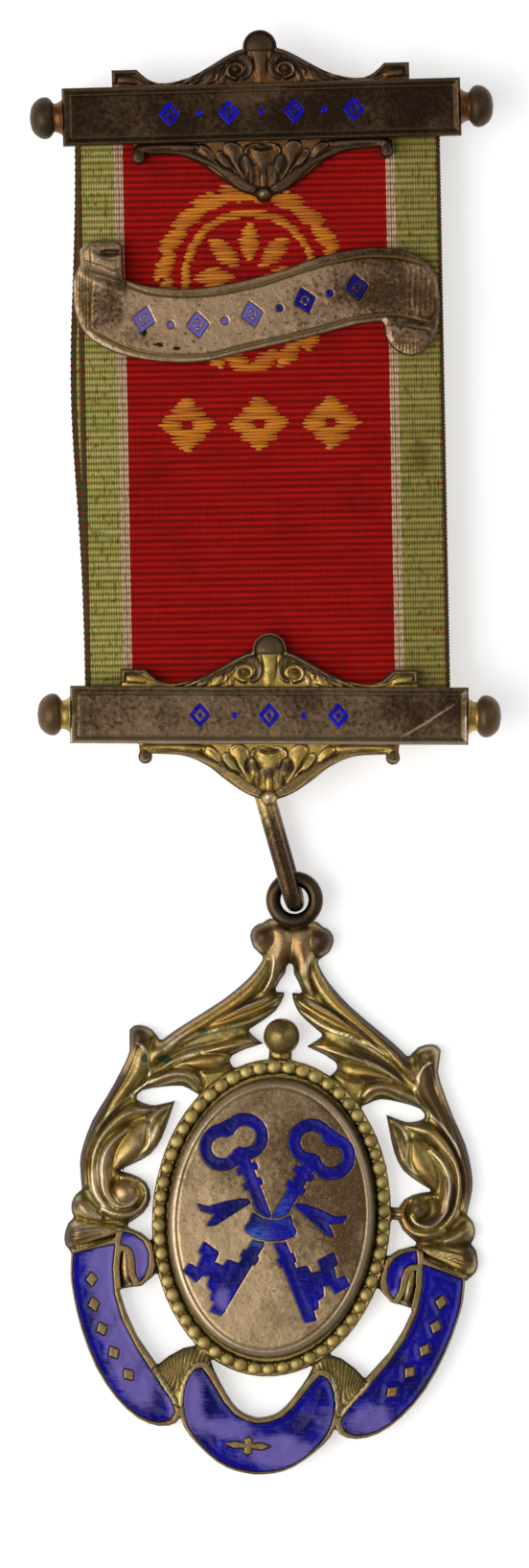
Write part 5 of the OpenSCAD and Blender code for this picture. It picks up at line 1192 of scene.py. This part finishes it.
def rounded_roll(lines, middle=(-16.85, 50.9), high=2.55):
    """The banner's outline, with the end of its roll rounded off, wider on its left and squarer on its right."""
    held = (lines[..., 1].max(1) > middle[1]) & (lines[..., 0].max(1) < -13)
    a, b = lines[held, :1], lines[held, 1:]
    points = a + np.linspace(0, 1, 13)[:, None] * (b - a)
    away = points - middle
    left = away[..., 0] < 0
    wide, power = np.where(left, 2.9, 2.65), np.where(left, 2.3, 2.6)
    beyond = (np.abs(away[..., 0]) / wide) ** power + (np.clip(away[..., 1], 0, None) / high) ** power
    shrink = np.where((away[..., 1] > 0) & (beyond > 1), np.maximum(beyond, 1) ** (-1 / power), 1.0)
    points = middle + away * shrink[..., None]
    pieces = np.stack([points[:, :-1], points[:, 1:]], 2).reshape(-1, 2, 2)
    return np.concatenate([lines[~held], pieces])


def banner():
    """The scroll banner, with its rolled end at the upper left and its turned end at the lower right."""
    lines = rounded_roll(TABLE_FRAME.local(section("banner_clasp", FACE_Z + 0.42)))
    pockets = TABLE_FRAME.local(section("banner_enamel", FACE_Z + BANNER_THICKNESS - 0.15))
    grid = Grid(TABLE_FRAME, np.concatenate([lines, pockets]), PITCH["banner"])
    x, y = grid.x, grid.y
    edge, _ = grid.distance(lines, 2.0)
    engraved = grid.ridges([thin(rows, half, depth) for rows, half, depth in BANNER_ENGRAVING], fullness=1.0, power=1.0)
    around = grid.ridges([thin(rows, 1.9 * half, depth) for rows, half, depth in BANNER_ENGRAVING],
                         fullness=1.0, power=1.0)
    flank = np.clip(around - engraved, 0, 1)
    z = FACE_Z + BANNER_THICKNESS - 0.12 * engraved - 0.12 * np.clip(1 - edge / 0.6, 0, 1) - rounded(grid.d, 0.18)
    # The rolled end, and the mouth of its tube: an outer and an inner ellipse.
    r = ROLL_HEIGHT / 2
    hump = np.sqrt(np.clip(1 - (np.clip(np.abs(x + 17.05) - 1.3, 0, None) / r) ** 2, 0, 1))
    ease = np.clip((y - 48.6 + 0.45 * (x + 17)) / 2.2, 0, 1)
    rolled = np.where(x < -14.2, ease * ease * (3 - 2 * ease), 0)
    z = z + rolled * np.maximum((2 * r - BANNER_THICKNESS) * hump - rounded(grid.d, 0.3), 0)
    outer = 1 - np.hypot((x + 16.35) / 1.8, (y - 52.55) / 1.0)
    inner = 1 - np.hypot((x + 16.1) / 1.35, (y - 52.15) / 0.34)
    z = z - 0.35 * np.clip(outer / 0.25, 0, 1) - 0.5 * np.clip(inner / 0.4, 0, 1)
    # A painted highlight on the lower lip of the tube's mouth.
    lip = np.exp(-(outer / 0.11) ** 2) * (y < 52.75)

    def strokes(along, pitch, where):
        """Fine hatching, this far apart."""
        return np.where(where, 0.5 + 0.5 * np.cos(along * 2 * math.pi / pitch), 0.0)

    hatch = strokes(x, 0.31, (outer > 0.02) & (inner < 0) & (y > 52.2))
    hatch = hatch + strokes(x + 0.08 * y, 0.36, (x < -17.9) & (y > 50.6) & (outer < 0))
    hatch = hatch + 0.8 * strokes(x + 0.01 * y, 0.33, (x < -18.15) & (y <= 50.6)) * (y > 44.2)
    # The turned end.
    tip = np.clip((x - 12.3) / 0.8, 0, 1) * np.clip((45.6 - y) / 1.2, 0, 1)
    z = z + 0.3 * tip
    hatch = hatch + 0.8 * strokes(x, 0.36, (tip > 0) & (y < 42.75 - 0.1 * (x - 15) ** 2 + 0.25))
    hatch = hatch + 0.35 * strokes(x - 0.03 * y, 0.55, (x > 14.6) & (y > 45.6) & (y < 50.6))
    z = z - 0.06 * hatch
    tone = stains(grid, [[12, 48.5, 5, 4, 0.95], [4, 46.5, 5, 3, 0.3], [17.5, 46, 2.5, 6, 0.5],
                         [-16.3, 46.8, 2.2, 2.8, 0.75], [-19.2, 48, 1.2, 6, 0.55], [-12, 43.4, 2.2, 1.4, 0.4],
                         [15, 43, 3, 1.6, 0.35], [-5, 44.5, 6, 3, -0.2], [10, 51.8, 7, 0.9, 0.6]])
    pits = stains(grid, [[-12.6, 43.9, 0.5, 1.0, 0.6], [-11.1, 42.6, 0.9, 0.4, 0.6], [-9.2, 42.2, 0.7, 0.3, 0.6],
                         [-17.2, 47.3, 0.9, 1.0, 0.3], [-7.4, 43.0, 0.4, 0.3, 0.5]])
    line = np.clip(1.5 * engraved + 0.75 * hatch, 0, 1)
    # A painted highlight along the outline, stronger on the left half, with the lip of the tube's mouth.
    bright = np.clip(lip + np.where(x < 2, 0.5, 0.1) * np.exp(-((edge - 0.2) / 0.12) ** 2), 0, 1)
    # Painted shade inside the tube's mouth and along the outline, and darker beside the engraved lines.
    dark = 0.9 * np.clip(inner / 0.3, 0, 1) + 0.9 * np.clip(1 - edge / 0.16, 0, 1) + 1.1 * flank
    values = {"line": line, "edge": bright, "tone": tone, "pits": pits, "rim": np.clip(dark, 0, 1)}
    return relief("banner_scroll", grid, z, FACE_Z + 0.02, values)


finish_piece(banner(), "banner_clasp", BANNER_METAL)
# The banner's enamel is hazy lilac in given places, partly a painted reflection.
finish_piece(enamel_relief("banner_lozenges", "banner_enamel", TABLE_FRAME, FACE_Z + BANNER_THICKNESS - 0.02,
                           FACE_Z + BANNER_THICKNESS - 0.3, PITCH["lozenges"], dish=0.05,
                           wear_and_highlight=[[-14, 45, 5, 5, 1.0], [-6, 45, 5, 4, 0.8], [0, 47, 4, 4, 0.4]]),
             "banner_enamel", BLUE)


# Link

def link():
    """A long oval ring of round wire on edge, as in the solid model."""
    height, r = LINK_HEIGHT, LINK_WIRE / 2
    reach = np.array(LINK_BOTTOM) - LINK_TOP
    length = np.hypot(*reach)
    line = [(height / 2 * math.cos(a), height / 2 * math.sin(a)) for a in np.linspace(math.pi / 2, 1.5 * math.pi, 25)]
    line += [(length * t, -height / 2) for t in np.linspace(0, 1, 14)[1:-1]]
    line += [(length + height / 2 * math.cos(a), height / 2 * math.sin(a))
             for a in np.linspace(-math.pi / 2, math.pi / 2, 25)]
    line += [(length * (1 - t), height / 2) for t in np.linspace(0, 1, 14)[1:-1]]
    line = np.array(line)
    sides, n = 20, len(line)
    ahead, behind = np.roll(line, -1, 0), np.roll(line, 1, 0)
    d = ahead - behind
    d /= np.hypot(*d.T)[:, None]
    out = np.stack([d[:, 1], -d[:, 0]], 1)
    shrink = 1 - (height - LINK_WIRE) / length
    turn, lean = math.atan2(reach[1], reach[0]), math.radians(LINK_TWIST)
    points = []
    for i in range(n):
        for k in range(sides):
            a = 2 * math.pi * k / sides
            u = (line[i, 0] + r * math.cos(a) * out[i, 0]) * shrink + height / 2 - LINK_WIRE / 2
            w = line[i, 1] + r * math.cos(a) * out[i, 1]
            v = r * math.sin(a)
            v, w = v * math.cos(lean) - w * math.sin(lean), v * math.sin(lean) + w * math.cos(lean)
            points.append((LINK_TOP[0] + u * math.cos(turn) - v * math.sin(turn) - MIDDLE[0],
                           LINK_TOP[1] + u * math.sin(turn) + v * math.cos(turn) - MIDDLE[1], EYE_Z + w))
    faces = [[i * sides + k, i * sides + (k + 1) % sides,
              (i + 1) % n * sides + (k + 1) % sides, (i + 1) % n * sides + k] for i in range(n) for k in range(sides)]
    made = make_mesh("long_link", points, faces)
    low = np.array([p[1] for p in points])
    return give(made, tone=np.clip((-4.0 - low) / 6.0, -0.2, 1))


finish_piece(link(), "link", LINK_METAL)


# Ribbon

RIB, WARP = 0.68, 0.26
# The red stripe's edges, and the width of the fine stripe along each.
RED = (-14.10, 13.32)
FINE = 0.93
LOOP_RADIUS = LOOP_GAP / 2 + CLOTH - 0.12
# How far the ribs stand out of the cloth and the selvedge out at its edges, and how far the back slips to the side.
RIB_RISE, SELVEDGE, SLIP = 0.14, 0.26, 0.95


def ribbon_point(across, s, lift):
    """A point of the ribbon's loop: its place across, along the loop from the lower rod up the front, and its lift."""
    r = LOOP_RADIUS
    half = math.pi * r
    if s < RIBBON_DROP:
        y, z, back = -RIBBON_DROP / 2 + s, r + lift, 0.0
    elif s < RIBBON_DROP + half:
        a = (s - RIBBON_DROP) / r
        y, z, back = RIBBON_DROP / 2 + (r + lift) * math.sin(a), (r + lift) * math.cos(a), (1 - math.cos(a)) / 2
    elif s < 2 * RIBBON_DROP + half:
        y, z, back = RIBBON_DROP / 2 - (s - RIBBON_DROP - half), -(r + lift), 1.0
    else:
        a = (s - 2 * RIBBON_DROP - half) / r
        y, z, back = -RIBBON_DROP / 2 - (r + lift) * math.sin(a), -(r + lift) * math.cos(a), (1 + math.cos(a)) / 2
    slip = -SLIP * back * math.exp(-((y - 3) / 15) ** 2)
    x, y = RIBBON.world(across + slip, y)
    return (x, y, ROD_Z + z)


def ribbon():
    """The ribbon's closed loop, ribbed outside, and its length."""
    length = 2 * RIBBON_DROP + 2 * math.pi * LOOP_RADIUS
    ribs = round(length / RIB)
    rib = length / ribs
    rows = []
    for k in range(ribs):
        per = 6 if (k + 1) * rib < RIBBON_DROP + 2.5 or k * rib > length - 2.5 else 3
        rows += [(k + i / per) * rib for i in range(per)]
    half = RIBBON_WIDTH / 2 - 0.05
    columns = np.concatenate([[-half, -half + 0.25, -half + 0.5], np.linspace(-half + 0.9, half - 0.9, 44),
                              [half - 0.5, half - 0.25, half]])
    inner = np.linspace(-half, half, 7)
    points, uv = [], []
    for s in rows:
        phase = (s / rib) % 1.0
        bulge = math.sin(math.pi * phase) ** 0.7
        for c in columns:
            soft = min((half - abs(c)) / 0.5, 1.0)
            lift = RIB_RISE * (bulge - 0.5) - 0.18 * (1 - soft) ** 2
            x = c + math.copysign(SELVEDGE * (bulge - 0.6), c) * (half - abs(c) < 0.3)
            points.append(ribbon_point(x, s, lift))
            uv.append((c, s))
        for c in inner:
            points.append(ribbon_point(c, s, -0.5))
            uv.append((c, s))
    # Each row of points runs over the cloth and back under it.
    nc, ni = len(columns), len(inner)
    order = list(range(nc)) + [nc + ni - 1 - k for k in range(ni)]
    wide = nc + ni
    faces = []
    for i in range(len(rows)):
        a, b = i * wide, (i + 1) % len(rows) * wide
        for k in range(wide):
            p, q = order[k], order[(k + 1) % wide]
            faces.append([a + p, a + q, b + q, b + p])
    return make_mesh("grosgrain_ribbon", points, faces, uv=uv), length


def woven():
    """Warp-faced corded ribbon: stripes by the place across, ribs by the place along."""
    f = Finish("woven_ribbon")
    place = f.nodes.new("ShaderNodeUVMap")
    place.uv_map = "Weave"
    split = f.nodes.new("ShaderNodeSeparateXYZ")
    f.put(split.inputs[0], place.outputs[0])
    u, v = split.outputs[0], split.outputs[1]
    u = f.add(u, f.centred(f.noise(0.7, 2), 0.14))
    at = place.outputs[0]
    thread = f.noise(0.17, 1, 0.4, stretch=(1.0, 0.02, 1.0), at=at)
    short = f.noise(0.26, 3, 0.6, stretch=(1.0, 0.45, 1.0), at=at)
    rib = f.noise(0.6, 2, 0.6, stretch=(0.06, 1.0, 1.0), at=at)
    wide = f.noise(7.0, 4, 0.6, at=at)
    red = f.mix(f.between(rib, 0.3, 0.7), srgb(178, 10, 4), srgb(204, 16, 8))
    red = f.over(red, srgb(190, 40, 26), thread, 0.5, 0.75, 0.25)
    red = f.over(red, srgb(92, 6, 6), short, 0.52, 0.75, 0.3)
    red = f.over(red, srgb(104, 12, 10), wide, 0.5, 0.72, 0.35)
    green = f.mix(f.between(rib, 0.3, 0.7), srgb(184, 176, 82), srgb(214, 202, 116))
    green = f.over(green, srgb(118, 84, 40), u, 10.0, 16.0, 0.35)
    green = f.over(green, srgb(92, 84, 36), short, 0.52, 0.7, 0.45)
    streak = f.noise(0.3, 1, 0.4, stretch=(1.0, 0.12, 1.0), at=at)
    green = f.over(green, srgb(60, 96, 48), streak, 0.62, 0.7, 0.55)
    fleck = f.noise(0.36, 1, 0.4, stretch=(1.0, 0.4, 1.0), at=at)
    green = f.over(green, srgb(140, 58, 36), fleck, 0.62, 0.7, 0.75)
    cream = f.mix(f.between(short, 0.45, 0.7), srgb(240, 206, 170), srgb(206, 140, 104))
    edge = f.mix(f.between(fleck, 0.42, 0.56), srgb(62, 78, 34), srgb(112, 34, 30))

    def band(low, high, soft=0.03):
        """1 from low to high across the ribbon."""
        return f.times(f.between(u, low - soft, low + soft),
                       f.math("SUBTRACT", 1.0, f.between(u, high - soft, high + soft)))

    in_red = band(*RED)
    colour = f.mix(in_red, green, red)
    for low in (RED[0] - FINE, RED[1]):
        pink = f.mix(band(low + 0.42, low + 0.52), cream, srgb(176, 110, 92))
        colour = f.mix(band(low, low + FINE), colour, pink)
    colour = f.mix(band(-20, -18.4), colour, edge)
    colour = f.mix(band(18.55, 20), colour, edge)
    # A brown stain on the right green stripe.
    away = f.vector("LENGTH", f.vector("MULTIPLY", f.vector("SUBTRACT", at, (16.3, 26.7, 0)), (0.5, 0.28, 1)))
    colour = f.over(colour, srgb(112, 72, 28), f.add(away, f.times(f.noise(1.4, 4), 0.9)), 1.25, 0.65, 0.55)
    # Painted shade in the gaps between warp threads and between ribs.
    depth = f.mix(in_red, (0.66, 0.66, 0.66, 1), (0.5, 0.5, 0.5, 1))
    colour = f.mix(f.times(f.lines(u, WARP), depth), colour, f.mix(in_red, srgb(66, 60, 24), srgb(70, 2, 4)))
    dark = f.mix(in_red, srgb(52, 44, 16), srgb(38, 0, 2))
    colour = f.mix(f.times(f.lines(v, RIB_EXACT), 0.62), colour, dark)
    fuzz = f.bump(thread, 0.03, under=f.bump(short, 0.03))
    return f.done(Base_Color=colour, Roughness=0.65, Normal=fuzz, Sheen_Weight=0.03, Sheen_Roughness=0.4,
                  Specular_IOR_Level=0.1)


loop, LOOP_LENGTH = ribbon()
RIB_EXACT = LOOP_LENGTH / round(LOOP_LENGTH / RIB)
finish_piece(loop, "ribbon", woven())


# Embroidery: generic motifs in gold silk, in satin stitch.

def polar(at, radius, angle):
    return at[0] + radius * math.cos(angle), at[1] + radius * math.sin(angle)


def leaf(x, y, at, turn, long, wide):
    """Over 0 inside a pointed leaf."""
    c, s = math.cos(turn), math.sin(turn)
    u, v = c * (x - at[0]) + s * (y - at[1]), -s * (x - at[0]) + c * (y - at[1])
    return wide * np.clip(1 - (u / long) ** 2, 0, 1) - np.abs(v)


def wreath(x, y, at=(-1.1, 14.3)):
    """Over 0 inside a wreath of leaves round a rosette."""
    best = np.full_like(x, -9.0)
    for k in range(20):
        a = 2 * math.pi * (k + 0.5) / 20
        lean = a + math.pi / 2 + (0.42 if math.cos(a) > 0 else -0.42)
        best = np.maximum(best, leaf(x, y, polar(at, 8.9, a), lean, 2.0, 0.95))
    for k in range(8):
        a = 2 * math.pi * k / 8
        best = np.maximum(best, leaf(x, y, polar(at, 3.7, a), a, 2.3, 1.05))
    ring_gap = 0.45 - np.abs(np.hypot(x - at[0], y - at[1]) - 6.7)
    return np.maximum(best, ring_gap)


def quatrefoil(x, y, at):
    """Over 0 inside four round petals about an open middle."""
    best = np.full_like(x, -9.0)
    for k in range(4):
        a = math.pi / 2 * k
        best = np.maximum(best, leaf(x, y, polar(at, 1.6, a), a, 1.45, 1.15))
        a += math.pi / 4
        best = np.maximum(best, leaf(x, y, polar(at, 1.7, a), a, 0.95, 0.5))
    return np.minimum(best, np.hypot(x - at[0], y - at[1]) - 0.55)


# The distance between rows of stitches, the step along a row, and the shortest stitch.
STITCH_PITCH, STITCH_STEP, STITCH_LEAST = 0.33, 0.05, 0.45


def embroidery():
    """Every figure filled with rows of stitches across it, as one mesh."""
    random = np.random.default_rng(5)
    points, faces, along = [], [], []
    shapes = [(wreath, (-12.5, 11.0), (3.0, 25.8))]
    for cx in (-7.9, -0.4, 7.1):
        shapes.append((lambda x, y, cx=cx: quatrefoil(x, y, (cx, -0.95)), (cx - 3.8, cx + 3.8), (-4.3, 2.4)))
    sides, n = 6, 8
    top = ROD_Z + LOOP_GAP / 2 + CLOTH - 0.08
    for shape, (x0, x1), (y0, y1) in shapes:
        for y in np.arange(y0, y1, STITCH_PITCH):
            x = np.arange(x0, x1, STITCH_STEP)
            held = shape(x, np.full_like(x, y)) > 0
            starts = np.flatnonzero(held[1:] & ~held[:-1]) + 1
            ends = np.flatnonzero(~held[1:] & held[:-1]) + 1
            for a, b in zip(x[starts], x[ends]):
                if b - a < STITCH_LEAST:
                    continue
                a, b = a + 0.12 * random.standard_normal(), b + 0.12 * random.standard_normal()
                tilt, rise = 0.1 * random.standard_normal(), 0.24 + 0.05 * random.standard_normal()
                first = len(points)
                for i in range(n):
                    t = i / (n - 1)
                    swell = math.sin(math.pi * min(max(t, 0.02), 0.98)) ** 0.35
                    for k in range(sides):
                        c = 2 * math.pi * k / sides
                        px, py = RIBBON.world(a + (b - a) * t, y + tilt * (t - 0.5) + 0.2 * swell * math.cos(c))
                        points.append((px, py, top + rise * swell + 0.15 * swell * math.sin(c) - 0.1))
                        along.append(random.random() if k == i == 0 else along[-1])
                for i in range(n - 1):
                    for k in range(sides):
                        p, q = first + i * sides + k, first + i * sides + (k + 1) % sides
                        faces.append([p, p + sides, q + sides, q])
    return make_mesh("gold_embroidery", points, faces, {"strand": np.array(along)})


def silk():
    """Gold silk, its colour by the strand."""
    f = Finish("gold_silk")
    strand = f.part("strand")
    fibre = f.noise(0.12, 3, 0.6, stretch=(0.15, 1.4, 1.0))
    colour = f.mix(f.between(strand, 0.1, 0.9), srgb(190, 100, 4), srgb(220, 136, 18))
    colour = f.over(colour, srgb(132, 70, 8), fibre, 0.48, 0.72, 0.35)
    return f.done(Base_Color=colour, Roughness=0.42, Normal=f.bump(fibre, 0.05), Sheen_Weight=0.05,
                  Specular_IOR_Level=0.35)


stitches = finish_piece(embroidery(), "ribbon", silk())
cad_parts["brooch_pin"].data.materials.clear()
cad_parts["brooch_pin"].data.materials.append(STEEL)


# Floor, lights and camera

def floor():
    bpy.ops.mesh.primitive_plane_add(size=6.0, location=(0, 0, -0.0001))
    plane = bpy.context.object
    plane.name = "table"
    f = Finish("table_paper")
    colour = f.mix(f.noise(40.0, 3), (0.93, 0.93, 0.93, 1), (0.9, 0.9, 0.9, 1))
    plane.data.materials.append(f.done(Base_Color=colour, Roughness=0.9, Specular_IOR_Level=0.2,
                                       Emission_Color=(1, 1, 1, 1), Emission_Strength=0.5))


def softbox(name, azimuth, height, distance, size, power, colour=(1, 1, 1)):
    """A square lamp that faces the jewel from an azimuth (0 is +X) and an angle above the table, in degrees."""
    a, e = math.radians(azimuth), math.radians(height)
    lamp = bpy.data.lights.new(name, "AREA")
    lamp.shape, lamp.size, lamp.energy, lamp.color = "SQUARE", size, power, colour
    made = bpy.data.objects.new(name, lamp)
    made.location = distance * Vector((math.cos(a) * math.cos(e), math.sin(a) * math.cos(e), math.sin(e)))
    made.rotation_mode = "QUATERNION"
    made.rotation_quaternion = made.location.to_track_quat("Z", "Y")
    made.visible_camera = False
    bpy.context.scene.collection.objects.link(made)


floor()
softbox("left_softbox", 195, 46, 1.1, 1.0, 8.0)
softbox("near_top_softbox", 205, 72, 1.15, 0.55, 1.4)
softbox("right_softbox", 20, 40, 1.2, 0.8, 1.7)
world = bpy.data.worlds.new("studio")
world.use_nodes = True
world.node_tree.nodes["Background"].inputs["Color"].default_value = (1, 1, 1, 1)
world.node_tree.nodes["Background"].inputs["Strength"].default_value = 0.22
bpy.context.scene.world = world
bpy.context.scene.view_settings.view_transform = "Standard"

# The picture is 0.1635 m high at the height of the bars' faces, seen from straight above.
PICTURE_HIGH, FACES = 0.1635, 0.005
camera = bpy.data.objects.new("camera", bpy.data.cameras.new("camera"))
bpy.context.scene.collection.objects.link(camera)
distance = 1.2
camera.location = (-0.0001, -0.00315, distance)
camera.data.sensor_width = 36
camera.data.lens = camera.data.sensor_width * (distance - FACES) / PICTURE_HIGH
camera.data.clip_start, camera.data.clip_end = 0.05, 20
bpy.context.scene.camera = camera
